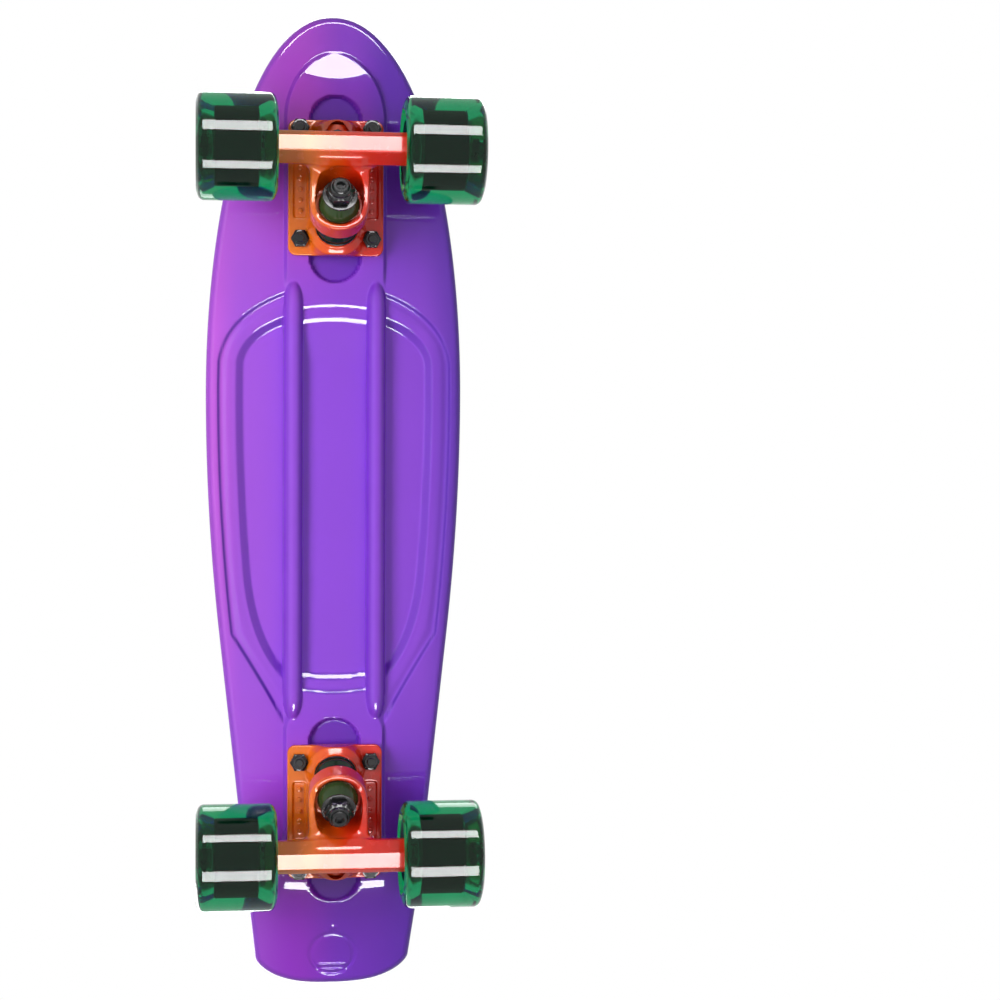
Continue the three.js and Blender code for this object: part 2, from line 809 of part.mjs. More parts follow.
// Lock nut: a hexagon with a round collar towards the pin's end
function kingpinNutSolid() {
  const inner = kingpin_diameter / 2 + seat_gap;
  const top = -king_nut_reach;
  const shoulder = top - king_nut_height;
  const end = shoulder - king_nut_collar_height;
  const hexagon = solid(hexPrism(king_nut_flats, shoulder, top));
  const collar = solid(turnedZ(rod(king_nut_collar_radius, end, top), pin_sides_count));
  const bore = solid(turnedZ(rod(inner, end - overrun, top + overrun), pin_sides_count));
  return hexagon.add(collar).subtract(bore);
}

function washerSolid(radius, low) {
  const inner = kingpin_diameter / 2 + seat_gap;
  return solid(turnedZ(tube(inner, radius, low, low + washer_thickness), pin_sides_count));
}

// Barrel bushing between the baseplate and the ring
function boardBushingSolid() {
  const inner = kingpin_diameter / 2 + bushing_bore_gap;
  const low = ring_thickness / 2 + seat_gap;
  const high = low + board_bushing_height;
  const quarter = board_bushing_height / 4;
  return solid(turnedZ([
    [inner, low],
    [board_bushing_radius - seat_gap, low],
    [board_bushing_radius, low + quarter / 2],
    [board_bushing_radius, low + quarter],
    [board_bushing_waist, low + 2 * quarter],
    [board_bushing_radius, low + 3 * quarter],
    [board_bushing_radius, high - quarter / 2],
    [board_bushing_radius - seat_gap, high],
    [inner, high],
  ], pin_sides_count));
}

// Cone bushing between the ring and the nut's washer
function roadBushingSolid() {
  const inner = kingpin_diameter / 2 + bushing_bore_gap;
  const high = -ring_thickness / 2 - seat_gap;
  const low = high - road_bushing_height;
  const quarter = road_bushing_height / 4;
  return solid(turnedZ([
    [inner, low],
    [road_bushing_top_radius, low],
    [road_bushing_radius, high - quarter],
    [road_bushing_radius, high],
    [inner, high],
  ], pin_sides_count));
}

// Soft cup that the hanger's pivot stub turns in
function pivotCupSolid() {
  const from = steer_length - cup_length / 2;
  const to = steer_length + cup_length / 2;
  return solid(turnedX([
    [stub_radius + seat_gap, from],
    [cup_radius, from],
    [cup_radius, to],
    [0, to],
    [0, to - cup_floor],
    [stub_radius - cup_floor / 2, to - cup_floor],
    [stub_radius + seat_gap, to - 2 * cup_floor],
  ], pin_sides_count));
}

// The hanger's bar seen along the axle, as [x, z] from the axle's centre
function barSection() {
  const tilt = radians(bar_facet_tilt_deg);
  const half_facet = bar_facet_width / 2;
  const [run, rise] = [half_facet * Math.cos(tilt), half_facet * Math.sin(tilt)];
  const side = bar_half_length;
  const third = bar_half_height / 3;
  return [
    [bar_facet_shift - run, -bar_half_height],
    [bar_facet_shift + run, -bar_half_height + 2 * rise],
    [side, -third],
    [side, third],
    [side - 2 * third, bar_half_height],
    [-side + 2 * third, bar_half_height],
    [-side, third],
    [-side, -third],
  ];
}

// Hanger: kingpin ring with its raised wall, web, bar, shoulders and pivot stub
function hangerSolid() {
  const half_ring = ring_thickness / 2;
  const bar_x = axle_offset - ring_offset;
  const bar_z = ring_drop - axle_drop;
  const lean = radians(kingpin_tilt_deg);
  const bar_along = bar_x * Math.cos(lean) + bar_z * Math.sin(lean);
  const bar_down = bar_x * Math.sin(lean) - bar_z * Math.cos(lean);
  const wall_bottom = -half_ring - ring_wall_height;
  const side_view = [
    [-ring_radius, half_ring],
    [bar_along - bar_half_length, half_ring],
    [bar_along + bar_half_length / 2, -bar_down + bar_half_height],
    [bar_along, -bar_down],
    [bar_along - bar_half_length, -bar_down + bar_half_height / 3],
    [bar_along - 2 * bar_half_length, wall_bottom - ring_wall_height],
    [-ring_radius, wall_bottom],
  ];
  const plan = roundedPlate(-ring_radius, bar_along + ring_radius, 2 * ring_radius, ring_radius);
  const ring_block = solid(widened(side_view, 2 * ring_radius + overrun));
  const ring_round = solid(raised(plan, -bar_down - overrun, overrun, arc_steps_count * 2));
  const pocket_points = rod(ring_pocket_radius, -overrun - bar_down, -half_ring);
  const pocket = solid(turnedZ(pocket_points, wheel_sides_count));
  const ring = ring_block.intersect(ring_round).subtract(pocket).transform(kingpin_frame.elements);
  const web_view = [
    [-ring_radius / 2, -ring_drop + ring_radius / 2],
    [0, -ring_drop + ring_radius - half_ring / 3],
    [axle_offset, -ring_drop + ring_radius - half_ring],
    [axle_offset + bar_half_length * web_toe_share, -axle_drop + bar_half_height],
    [axle_offset, -axle_drop],
    [0, -axle_drop + bar_half_height],
  ];
  const web = solid(widened(web_view, web_width));
  const bar = solid(
    widened(barSection(), hanger_width).translate(axle_offset, 0, -axle_drop),
  );
  const stub = turnedX([
    [0, steer_length - stub_root_reach - overrun / 2],
    [stub_root_radius, steer_length - stub_root_reach - overrun / 2],
    [stub_root_radius, steer_length - stub_root_reach],
    [stub_radius, steer_length - cup_length / 2 - cup_floor],
    [stub_radius, steer_length + cup_length / 2 - 2 * cup_floor - seat_gap],
    [stub_radius - cup_floor / 2, steer_length + cup_length / 2 - cup_floor - seat_gap],
    [0, steer_length + cup_length / 2 - cup_floor - seat_gap],
  ], pin_sides_count);
  let hanger = joined(ring, web, bar, shoulder(1), shoulder(-1));
  hanger = hanger.add(solid(stub.applyMatrix4(steer_frame)));
  const king_hole = turnedZ(rod(ring_hole_radius, -overrun, overrun), pin_sides_count);
  hanger = hanger.subtract(solid(king_hole.applyMatrix4(kingpin_frame)));
  const head_room = turnedZ(
    rod(ring_pocket_radius, half_ring, half_ring + overrun),
    wheel_sides_count,
  );
  hanger = hanger.subtract(solid(head_room.applyMatrix4(kingpin_frame)));
  const bore_points = rod(axle_diameter / 2 + seat_gap, -hanger_width, hanger_width);
  const bore = turned(bore_points, small_sides_count).translate(axle_offset, 0, -axle_drop);
  return hanger.subtract(solid(bore));
}

// The curved flare where the bar meets the web
function shoulder(side) {
  const inner = axle_offset - bar_half_length;
  const shape = new THREE.Shape();
  const root = ring_radius - seat_gap;
  shape.moveTo(axle_offset, side * (root + shoulder_radius));
  shape.lineTo(inner, side * (root + shoulder_radius));
  shape.quadraticCurveTo(inner, side * root, inner - shoulder_radius, side * root);
  shape.lineTo(inner - shoulder_radius, 0);
  shape.lineTo(axle_offset, 0);
  const top = -axle_drop + shoulder_height / 2;
  const block = solid(raised(shape, top - shoulder_height, top));
  const pocket_points = rod(ring_pocket_radius, -axle_drop - overrun, -ring_thickness / 2);
  const pocket = turnedZ(pocket_points, wheel_sides_count).applyMatrix4(kingpin_frame);
  return block.subtract(solid(pocket));
}

// Axle with the bearing spacers and speed rings that sit on it
function axleSolid() {
  const radius = axle_diameter / 2;
  const spacer = bearing_spacing / 2 - seat_gap;
  const collars = [
    [wheel_y - hub_reach + seat_gap, wheel_y - speed_ring_reach],
    [wheel_y - spacer, wheel_y + spacer],
    [wheel_y + speed_ring_reach, wheel_y + hub_reach - seat_gap],
  ];
  const half = [];
  for (const [from, to] of collars) {
    half.push([radius, from], [speed_ring_radius, from], [speed_ring_radius, to], [radius, to]);
  }
  half.push([radius, axle_end - seat_gap], [radius - seat_gap, axle_end], [0, axle_end]);
  const mirrored = half.map(([r, y]) => [r, -y]).toReversed();
  const shaft = turned([...mirrored, ...half], small_sides_count);
  return solid(shaft.translate(axle_offset, 0, -axle_drop));
}

function axleNutSolid(side) {
  const low = hub_reach;
  const prism = hexPrism(axle_nut_flats, low, low + axle_nut_height);
  const bore = turnedZ(rod(axle_diameter / 2 + seat_gap, -overrun, overrun * 2), small_sides_count);
  const nut = solid(prism).subtract(solid(bore));
  const turn = new THREE.Matrix4().makeRotationX(-side * Math.PI / 2);
  return nut.transform(turn.elements);
}

// Soft tyre cast round the core
function tyreSolid() {
  const half = wheel_width / 2;
  const lip = [];
  for (let i = 0; i <= 2; i += 1) {
    const angle = Math.PI / 4 * i;
    lip.push([
      wheel_radius - wheel_lip_radius * (1 - Math.cos(angle)),
      half - wheel_lip_radius * (1 - Math.sin(angle)),
    ]);
  }
  const core_half = bearing_reach;
  const side = [
    ...lip,
    [wheel_face_radius, half - wheel_face_sink],
    [core_radius + seat_gap, core_half],
  ];
  const mirrored = side.map(([r, y]) => [r, -y]).toReversed();
  return solid(turned([...side, ...mirrored], wheel_sides_count));
}

// Hard core with a seat for a bearing in each side
function coreSolid() {
  const seat = bearing_diameter / 2 + seat_gap;
  const shoulder_y = bearing_spacing / 2 - seat_gap;
  const side = [
    [core_radius, bearing_reach],
    [seat, bearing_reach],
    [seat, shoulder_y],
    [core_shoulder_radius, shoulder_y],
  ];
  const mirrored = side.map(([r, y]) => [r, -y]).toReversed();
  return solid(turned([...side, ...mirrored], small_sides_count));
}

function outerRaceSolid() {
  const half = bearing_width / 2;
  const inner = inner_race_radius + race_gap;
  return solid(turned(tube(inner, bearing_diameter / 2, -half, half), small_sides_count));
}

function innerRaceSolid() {
  const half = bearing_width / 2;
  const inner = axle_diameter / 2 + seat_gap;
  return solid(turned(tube(inner, inner_race_radius, -half, half), small_sides_count));
}

// A mounting bolt through deck and baseplate, with the lock nut on its end
function mountingBoltSolid() {
  const seat = deck_top_z + pad_disc_height + concave(bolt_spacing_wide / 2) + seat_gap;
  const nut_top = pad_z - seat_gap - base_thickness - seat_gap;
  const end = nut_top - bolt_nut_height - bolt_end_reach;
  const top = seat + bolt_head_height;
  const bolt = turnedZ([
    [0, end],
    [bolt_diameter / 2, end],
    [bolt_diameter / 2, seat],
    [bolt_head_radius, seat],
    [bolt_head_radius, top - bolt_head_edge],
    [bolt_head_radius - bolt_head_edge, top],
    [0, top],
  ], bolt_sides_count);
  const socket = hexPrism(bolt_socket_flats, top - bolt_socket_depth, top + overrun);
  const nut = hexPrism(bolt_nut_flats, nut_top - bolt_nut_height, nut_top);
  return solid(bolt).subtract(solid(socket)).add(solid(nut));
}

// One wheel's pieces at its place on a truck
function addWheel(truck, name, side) {
  const hub = new THREE.Group();
  hub.position.set(axle_offset, side * wheel_y, -axle_drop);
  hub.add(piece(`${name}_tyre`, tyreSolid(), wheel_green));
  hub.add(piece(`${name}_core`, coreSolid(), core_black));
  for (const [place, across] of [['outboard', 1], ['inboard', -1]]) {
    const bearing_y = side * across * bearing_offset;
    const outer = piece(`${name}_${place}_outer_race`, outerRaceSolid(), steel_bright);
    const inner = piece(`${name}_${place}_inner_race`, innerRaceSolid(), steel_bright);
    outer.position.y = bearing_y;
    inner.position.y = bearing_y;
    hub.add(outer, inner);
  }
  hub.add(piece(`${name}_axle_nut`, axleNutSolid(side), steel_black));
  truck.add(hub);
}

// One truck: the pieces about the kingpin lean with it in a turned group
function buildTruck(end, direction) {
  const truck = new THREE.Group();
  truck.position.set(truck_shift + direction * pattern_x, 0, pad_z);
  truck.rotation.z = direction > 0 ? 0 : Math.PI;
  truck.add(piece(`${end}_baseplate`, baseplateSolid(), truck_orange));
  truck.add(piece(`${end}_hanger`, hangerSolid(), truck_orange));
  truck.add(piece(`${end}_axle`, axleSolid(), steel_black));
  const leaning = new THREE.Group();
  leaning.applyMatrix4(kingpin_frame);
  leaning.add(piece(`${end}_kingpin`, kingpinSolid(), steel_black));
  leaning.add(piece(`${end}_kingpin_nut`, kingpinNutSolid(), steel_black));
  leaning.add(piece(`${end}_boardside_bushing`, boardBushingSolid(), bushing_green));
  leaning.add(piece(`${end}_roadside_bushing`, roadBushingSolid(), bushing_green));
  const board_washer = washerSolid(board_washer_radius, board_side_reach);
  const road_washer = washerSolid(road_washer_radius, -road_washer_reach - washer_thickness);
  leaning.add(piece(`${end}_boardside_washer`, board_washer, steel_black));
  leaning.add(piece(`${end}_roadside_washer`, road_washer, steel_black));
  truck.add(leaning);
  const steering = new THREE.Group();
  steering.applyMatrix4(steer_frame);
  steering.add(piece(`${end}_pivot_cup`, pivotCupSolid(), cup_black));
  truck.add(steering);
  addWheel(truck, `${end}_left`, direction);
  addWheel(truck, `${end}_right`, -direction);
  return truck;
}

// The eight mounting bolts, named by truck, row and side
function addBolts(board) {
  for (const [end, direction] of [['front', 1], ['rear', -1]]) {
    for (const [along, across] of boltPlaces()) {
      const row = along > 0 ? 'outer' : 'inner';
      const side = across > 0 ? 'left' : 'right';
      const bolt = piece(`${end}_${row}_${side}_bolt`, mountingBoltSolid(), steel_black);
      bolt.position.set(truck_shift + direction * (pattern_x + along), across, 0);
      board.add(bolt);
    }
  }
}

const board = new THREE.Group();
board.add(piece('deck', deckSolid(), deck_purple));
board.add(buildTruck('front', 1));
board.add(buildTruck('rear', -1));
addBolts(board);

export default board;
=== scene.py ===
"""Cruiser skateboard seen from below: fine meshes, materials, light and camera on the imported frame."""
import math

import bpy
import numpy as np
from mathutils import Matrix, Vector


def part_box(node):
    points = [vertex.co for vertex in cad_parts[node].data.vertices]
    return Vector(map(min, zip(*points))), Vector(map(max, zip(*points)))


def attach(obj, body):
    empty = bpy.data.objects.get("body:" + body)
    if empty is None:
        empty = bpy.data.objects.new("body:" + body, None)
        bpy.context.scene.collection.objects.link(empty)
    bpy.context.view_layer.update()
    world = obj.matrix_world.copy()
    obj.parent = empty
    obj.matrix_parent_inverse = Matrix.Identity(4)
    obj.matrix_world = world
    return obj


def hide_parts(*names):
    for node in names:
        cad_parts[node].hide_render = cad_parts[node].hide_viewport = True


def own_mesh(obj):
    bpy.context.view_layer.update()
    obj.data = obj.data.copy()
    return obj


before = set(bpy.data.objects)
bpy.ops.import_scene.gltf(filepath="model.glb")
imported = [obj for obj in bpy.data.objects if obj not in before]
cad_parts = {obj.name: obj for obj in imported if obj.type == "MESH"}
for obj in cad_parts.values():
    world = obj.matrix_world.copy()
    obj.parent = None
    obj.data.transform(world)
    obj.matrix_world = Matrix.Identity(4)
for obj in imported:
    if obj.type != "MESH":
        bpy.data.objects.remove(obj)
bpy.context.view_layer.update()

# Sizes in millimetres, as in the part's own source
MM = 0.001
DECK_LENGTH = 571.5
DECK_WIDTH = 149.0
HALF_LENGTH = DECK_LENGTH / 2
NOSE_OVERHANG = 84.8
TAIL_OVERHANG = 90.5
WIDEST_SETBACK = 136.0
NOSE_FULLNESS = 2.12
TAPER_BEND = 138.0
TAPER_SLOPE = 0.11
TAIL_CORNER = 17.0
TAIL_SHARES = (1.6, 2.8)
SHELL = 8.0
CONCAVE = 6.0
NOSE_MARGIN = 2.0
NOSE_BEND = 40.0
NOSE_ANGLE = 18.8
TAIL_MARGIN = 2.0
TAIL_BEND = 22.0
TAIL_ANGLE = 21.0
RIM_TOP = 3.5
RIM_BOTTOM = 4.0

AXLE_OFFSET = 15.0
AXLE_DROP = 48.0
BOLT_LONG = 63.5
BOLT_WIDE = 41.3
BASE_WIDTH = 55.0
BASE_INNER = -BOLT_LONG / 2 - 9.7
BASE_OUTER = BOLT_LONG / 2 + 5.0
BASE_THICK = 4.5
TILT = math.radians(25.0)
RING_OFFSET = -17.5
RING_DROP = 30.0
PIVOT_OFFSET = 24.0
PIVOT_DROP = 12.0
GAP = 0.3

PAD_Z = 78.0
SHELL_Z = 80.0
TOP_Z = SHELL_Z + SHELL
FRONT_AXLE = HALF_LENGTH - NOSE_OVERHANG
REAR_AXLE = TAIL_OVERHANG - HALF_LENGTH
FRONT_TRUCK = FRONT_AXLE - AXLE_OFFSET
REAR_TRUCK = REAR_AXLE + AXLE_OFFSET
WIDEST = FRONT_AXLE - WIDEST_SETBACK
NOSE_START = FRONT_TRUCK + BASE_OUTER + NOSE_MARGIN
TAIL_START = REAR_TRUCK - BASE_OUTER - TAIL_MARGIN

RING_THICK = 8.0
WASHER = 1.2
BOARD_BUSHING = 14.0
ROAD_BUSHING = 11.0
PIN_RADIUS = 4.75
PIN_BORE = 5.05
BUSHING_BORE = 5.25
SEAT_RADIUS = 12.9
AXLE_BORE = 4.3
BOARD_REACH = RING_THICK / 2 + GAP + BOARD_BUSHING + GAP
KING_SEAT = BOARD_REACH + WASHER + GAP
ROAD_REACH = RING_THICK / 2 + GAP + ROAD_BUSHING + GAP
KING_NUT = ROAD_REACH + WASHER + GAP
KING_END = KING_NUT + 5.5 + 3.0 + 1.5
STEER_RUN = PIVOT_OFFSET - RING_OFFSET
STEER_RISE = RING_DROP - PIVOT_DROP
STEER_ANGLE = math.atan2(STEER_RISE, STEER_RUN)
STEER_LENGTH = math.hypot(STEER_RUN, STEER_RISE)
HANGER_WIDTH = 88.0
WHEEL_RADIUS = 30.0


# ---- small helpers
def smooth(value, low, high):
    """0 below low, 1 above high, with a soft turn at both ends."""
    t = np.clip((value - low) / (high - low), 0, 1)
    return t * t * (3 - 2 * t)


def smin(a, b, k):
    h = np.clip(0.5 + 0.5 * (b - a) / k, 0, 1)
    return b * (1 - h) + a * h - k * h * (1 - h)


def smax(a, b, k):
    return -smin(-a, -b, k)


def move(x, y, z):
    m = np.eye(4)
    m[:3, 3] = (x, y, z)
    return m


X, Y, Z = range(3)


def turn(axis, angle):
    m = np.eye(4)
    a, b = (axis + 1) % 3, (axis + 2) % 3
    m[a, a] = m[b, b] = math.cos(angle)
    m[b, a] = math.sin(angle)
    m[a, b] = -m[b, a]
    return m


def placed(points, matrix):
    return points @ matrix[:3, :3].T + matrix[:3, 3]


def local(points, matrix):
    return (points - matrix[:3, 3]) @ matrix[:3, :3]


KING = move(RING_OFFSET, 0, -RING_DROP) @ turn(Y, -TILT)
STEER = move(RING_OFFSET, 0, -RING_DROP) @ turn(Y, -STEER_ANGLE)
TRUCKS = {
    "front": move(FRONT_TRUCK, 0, PAD_Z),
    "rear": move(REAR_TRUCK, 0, PAD_Z) @ turn(Z, math.pi),
}


def linked(name, data):
    thing = bpy.data.objects.new(name, data)
    bpy.context.scene.collection.objects.link(thing)
    return thing


def set_frame(thing, x, y, z, place):
    """Puts a lamp or camera at a place in metres, with its own axes along x, y and z."""
    rows = np.vstack([np.column_stack([x, y, z, place]), [0, 0, 0, 1]])
    thing.matrix_world = Matrix(rows.tolist())


def add_piece(name, shape, tint, body, nodes=(), angle=34):
    """A mesh object in metres from millimetre points, tied to its body and replaced nodes."""
    verts, faces = shape
    mesh = bpy.data.meshes.new(name)
    mesh.from_pydata((np.asarray(verts) * MM).tolist(), [], faces)
    mesh.update()
    mesh.polygons.foreach_set("use_smooth", [True] * len(mesh.polygons))
    mesh.set_sharp_from_angle(angle=math.radians(angle))
    mesh.materials.append(MATS[tint])
    piece = linked(name, mesh)
    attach(piece, body)
    if nodes:
        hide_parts(*nodes)
    return piece


class Build:
    """Vertices and faces of several shells put together."""

    def __init__(self):
        self.verts, self.faces, self.count = [], [], 0

    def add(self, verts, faces):
        self.verts.append(np.asarray(verts, float))
        self.faces += [tuple(i + self.count for i in f) for f in faces]
        self.count += len(verts)

    def shape(self):
        return np.vstack(self.verts), self.faces


def rounded(points, steps=4):
    """A profile whose corners are rounded; each point is (r, h) or (r, h, radius)."""
    out = []
    for i, point in enumerate(points):
        p = np.array(point[:2], float)
        radius = point[2] if len(point) > 2 else 0
        if radius <= 0 or i in (0, len(points) - 1):
            out.append(tuple(p))
            continue
        a = np.array(points[i - 1][:2], float) - p
        b = np.array(points[i + 1][:2], float) - p
        la, lb = np.linalg.norm(a), np.linalg.norm(b)
        a, b = a / la, b / lb
        half = math.acos(max(-1.0, min(1.0, float(a @ b)))) / 2
        if half > math.pi / 2 - 0.02:
            out.append(tuple(p))
            continue
        cut = min(radius / math.tan(half), 0.48 * la, 0.48 * lb)
        r = cut * math.tan(half)
        middle = (a + b) / np.linalg.norm(a + b)
        centre = p + middle * math.hypot(cut, r)
        start, end = p + a * cut - centre, p + b * cut - centre
        sweep = math.pi - 2 * half
        side = np.sign(start[0] * end[1] - start[1] * end[0])
        for k in range(steps + 1):
            t = side * sweep * k / steps
            c, s = math.cos(t), math.sin(t)
            q = centre + np.array([c * start[0] - s * start[1], s * start[0] + c * start[1]])
            out.append(tuple(q))
    return out


def hex_radius(flats, theta):
    return flats / 2 / np.cos((theta + math.pi / 6) % (math.pi / 3) - math.pi / 6)


def spun(rows, sides, closed=False):
    """A body about +Z from rows of (radius, h) or (flats, h, 'hex'); closed joins last to first."""
    theta = np.arange(sides) * 2 * math.pi / sides
    verts, index = [], []
    for row in rows:
        r, h = row[0], row[1]
        start = len(verts)
        if r < 1e-6:
            verts.append((0.0, 0.0, h))
            index.append([start] * sides)
            continue
        radius = hex_radius(r, theta) if len(row) > 2 and row[2] == "hex" else np.full(sides, r)
        ring = zip(radius * np.cos(theta), radius * np.sin(theta))
        verts += [(x, y, h) for x, y in ring]
        index.append(list(range(start, start + sides)))
    faces = []
    spans = list(zip(index[:-1], index[1:]))
    if closed:
        spans.append((index[-1], index[0]))
    for low, high in spans:
        for k in range(sides):
            n = (k + 1) % sides
            corner = [low[k], low[n], high[n], high[k]]
            kept = [c for i, c in enumerate(corner) if c != corner[i - 1]]
            if len(kept) > 2:
                faces.append(tuple(kept))
    return np.array(verts), faces


def outward(verts, faces):
    """Faces turned so that the closed mesh holds a positive volume."""
    tri = np.array([f[:3] for f in faces])
    quad = np.array([(f[0], f[2], f[3]) for f in faces if len(f) == 4]).reshape(-1, 3)
    tri = np.vstack([tri, quad])
    a, b, c = (verts[tri[:, k]] for k in range(3))
    if np.einsum("ij,ij->i", a, np.cross(b, c)).sum() < 0:
        faces = [tuple(reversed(f)) for f in faces]
    return faces


def lathe(rows, matrix, sides, closed=False):
    """A spun body with its faces outward, put in place."""
    verts, faces = spun(rows, sides, closed)
    return placed(verts, matrix), outward(verts, faces)


# ---- signed distances
def sd_polygon(x, y, points):
    """Signed distance to a closed polygon, negative inside."""
    points = np.asarray(points, float)
    best = np.full(x.shape, 1e18)
    sign = np.ones(x.shape)
    count = len(points)
    for i in range(count):
        ax, ay = points[i]
        bx, by = points[i - 1]
        ex, ey = bx - ax, by - ay
        wx, wy = x - ax, y - ay
        t = np.clip((wx * ex + wy * ey) / (ex * ex + ey * ey + 1e-12), 0, 1)
        best = np.minimum(best, (wx - ex * t) ** 2 + (wy - ey * t) ** 2)
        c1 = y >= ay
        c2 = y < by
        c3 = ex * wy > ey * wx
        flip = (c1 & c2 & c3) | (~c1 & ~c2 & ~c3)
        sign = np.where(flip, -sign, sign)
    return sign * np.sqrt(best)


def sd_box2(x, y, cx, cy, hx, hy, r):
    qx = np.abs(x - cx) - hx + r
    qy = np.abs(y - cy) - hy + r
    return np.hypot(np.maximum(qx, 0), np.maximum(qy, 0)) + np.minimum(np.maximum(qx, qy), 0) - r


def extruded(d2, along, half, r):
    """A flat distance given a half length along another axis, its edges rounded by r."""
    qx = d2 + r
    qy = np.abs(along) - half + r
    return np.minimum(np.maximum(qx, qy), 0) + np.hypot(np.maximum(qx, 0), np.maximum(qy, 0)) - r


def surface(field, low, high, cell):
    """Closed quad mesh of field = 0 by surface nets, drawn onto the surface by Newton steps."""
    axes = [np.arange(a, b + cell, cell) for a, b in zip(low, high)]
    shape = tuple(len(a) for a in axes)
    grid = np.stack(np.meshgrid(*axes, indexing="ij"), -1).reshape(-1, 3)
    value = np.concatenate([field(g) for g in np.array_split(grid, 8)]).reshape(shape)
    inside = value < 0
    corners = [(i, j, k) for i in (0, 1) for j in (0, 1) for k in (0, 1)]
    n = tuple(s - 1 for s in shape)

    def part(array, c):
        return array[c[0]:c[0] + n[0], c[1]:c[1] + n[1], c[2]:c[2] + n[2]]

    filled = sum(part(inside, c).astype(np.int8) for c in corners)
    active = (filled > 0) & (filled < 8)
    cells = np.argwhere(active)
    number = np.full(n, -1)
    number[active] = np.arange(len(cells))
    total = np.zeros((len(cells), 3))
    weight = np.zeros(len(cells))
    for a in corners:
        for axis in range(3):
            if a[axis]:
                continue
            b = tuple(1 if i == axis else a[i] for i in range(3))
            va = value[tuple((cells + a).T)]
            vb = value[tuple((cells + b).T)]
            cross = (va < 0) != (vb < 0)
            t = np.where(cross, va / np.where(cross, va - vb, 1), 0)
            p = cells + np.array(a, float)
            p[:, axis] += t
            total += p * cross[:, None]
            weight += cross
    verts = total / weight[:, None] * cell + np.array([a[0] for a in axes])
    faces = []
    for axis in range(3):
        u, v = [(1, 2), (2, 0), (0, 1)][axis]
        here = [slice(0, -1)] * 3
        there = [slice(0, -1)] * 3
        there[axis] = slice(1, None)
        a, b = inside[tuple(here)], inside[tuple(there)]
        change = a != b
        change[tuple(0 if i in (u, v) else slice(None) for i in range(3))] = False
        edges = np.argwhere(change)
        ok = (edges[:, u] > 0) & (edges[:, v] > 0)
        edges = edges[ok]
        du, dv = np.zeros(3, int), np.zeros(3, int)
        du[u], dv[v] = 1, 1
        ring = [edges, edges - du, edges - du - dv, edges - dv]
        quad = np.stack([number[tuple(r.T)] for r in ring], 1)
        out = a[tuple(edges.T)]
        quad[~out] = quad[~out][:, ::-1]
        faces.append(quad)
    faces = np.vstack(faces)
    step = cell * 0.2
    for _ in range(3):
        slope = np.stack([
            (field(verts + np.eye(3)[i] * step) - field(verts - np.eye(3)[i] * step)) / (2 * step)
            for i in range(3)
        ], 1)
        size = np.maximum((slope ** 2).sum(1), 0.25)
        shift = slope * (field(verts) / size)[:, None]
        length = np.linalg.norm(shift, axis=1)
        shift *= np.minimum(1, cell * 0.5 / np.maximum(length, 1e-9))[:, None]
        verts = verts - shift
    return verts, [tuple(f) for f in faces.tolist()]


# ---- deck form
def half_width(x):
    x = np.asarray(x, float)
    share = np.clip((x - WIDEST) / (HALF_LENGTH - WIDEST), 0, 1)
    nose = DECK_WIDTH / 2 * (1 - share ** 2) ** (1 / NOSE_FULLNESS)
    run = np.maximum(WIDEST - x, 0)
    bend = np.minimum(run, TAPER_BEND)
    drop = TAPER_SLOPE * (bend ** 2 / TAPER_BEND / 2 + run - bend)
    corner = np.clip((TAIL_CORNER - HALF_LENGTH - x) / TAIL_CORNER, 0, 1)
    tail = (DECK_WIDTH / 2 - drop) * (1 - corner ** TAIL_SHARES[0]) ** (1 / TAIL_SHARES[1])
    return np.where(x > WIDEST, nose, tail)


def end_rise(run, bend, angle):
    inside = np.clip(run, 0, bend)
    return math.tan(math.radians(angle)) * (inside ** 2 / bend / 2 + np.maximum(run - bend, 0))


def rise(x):
    return end_rise(x - NOSE_START, NOSE_BEND, NOSE_ANGLE) + end_rise(
        TAIL_START - x, TAIL_BEND, TAIL_ANGLE
    )


def concave(y):
    return CONCAVE * (2 * y / DECK_WIDTH) ** 2


ROWS = 640
INNER = np.concatenate([np.arange(0, 16.9, 1.3), np.arange(17, 31.1, 0.45), [32.4, 34]])
OUTER = 36
COLUMNS = len(INNER) - 1 + OUTER


def column_places(half):
    """Y places of the columns in a row, from the middle to a half width; they follow the ribs."""
    scale = np.minimum(half / 40, 1)[:, None]
    inner = INNER[None, :] * scale
    share = np.linspace(0, 1, OUTER + 1)[1:]
    outer = inner[:, -1:] + (half[:, None] - inner[:, -1:]) * share
    return np.hstack([inner, outer])


def half_outline():
    """Evenly spaced points of the left half of the outline, nose to tail, and their normals."""
    phi = np.linspace(0, math.pi, 20001)
    x = HALF_LENGTH * np.cos(phi)
    y = half_width(x)
    y[0] = y[-1] = 0
    length = np.concatenate([[0], np.cumsum(np.hypot(np.diff(x), np.diff(y)))])
    s = np.linspace(0, length[-1], ROWS + 1)
    near = 0.6

    def place(at):
        return np.stack([np.interp(at, length, x), np.interp(at, length, y)], 1)

    tx, ty = (place(s + near) - place(s - near)).T
    size = np.hypot(tx, ty)
    normals = np.stack([ty / size, -tx / size], 1)
    normals[0], normals[-1] = (1, 0), (-1, 0)
    return place(s), normals


OUTLINE, NORMALS = half_outline()


def inset(distance):
    """The half outline drawn in by a distance, with folds in tight corners taken out."""
    points = OUTLINE - NORMALS * distance
    points[:, 1] = np.maximum(points[:, 1], 0)
    points[0, 1] = points[-1, 1] = 0
    if distance > 1:
        gap = np.sqrt(((points[:, None] - OUTLINE[None]) ** 2).sum(-1).min(1))
        good = gap > distance - 0.03
        good[0] = good[-1] = True
        number = np.arange(len(points))
        for i in (0, 1):
            points[:, i] = np.interp(number, number[good], points[good, i])
        points[:, 0] = np.minimum.accumulate(points[:, 0] - number * 1e-7)
    return points


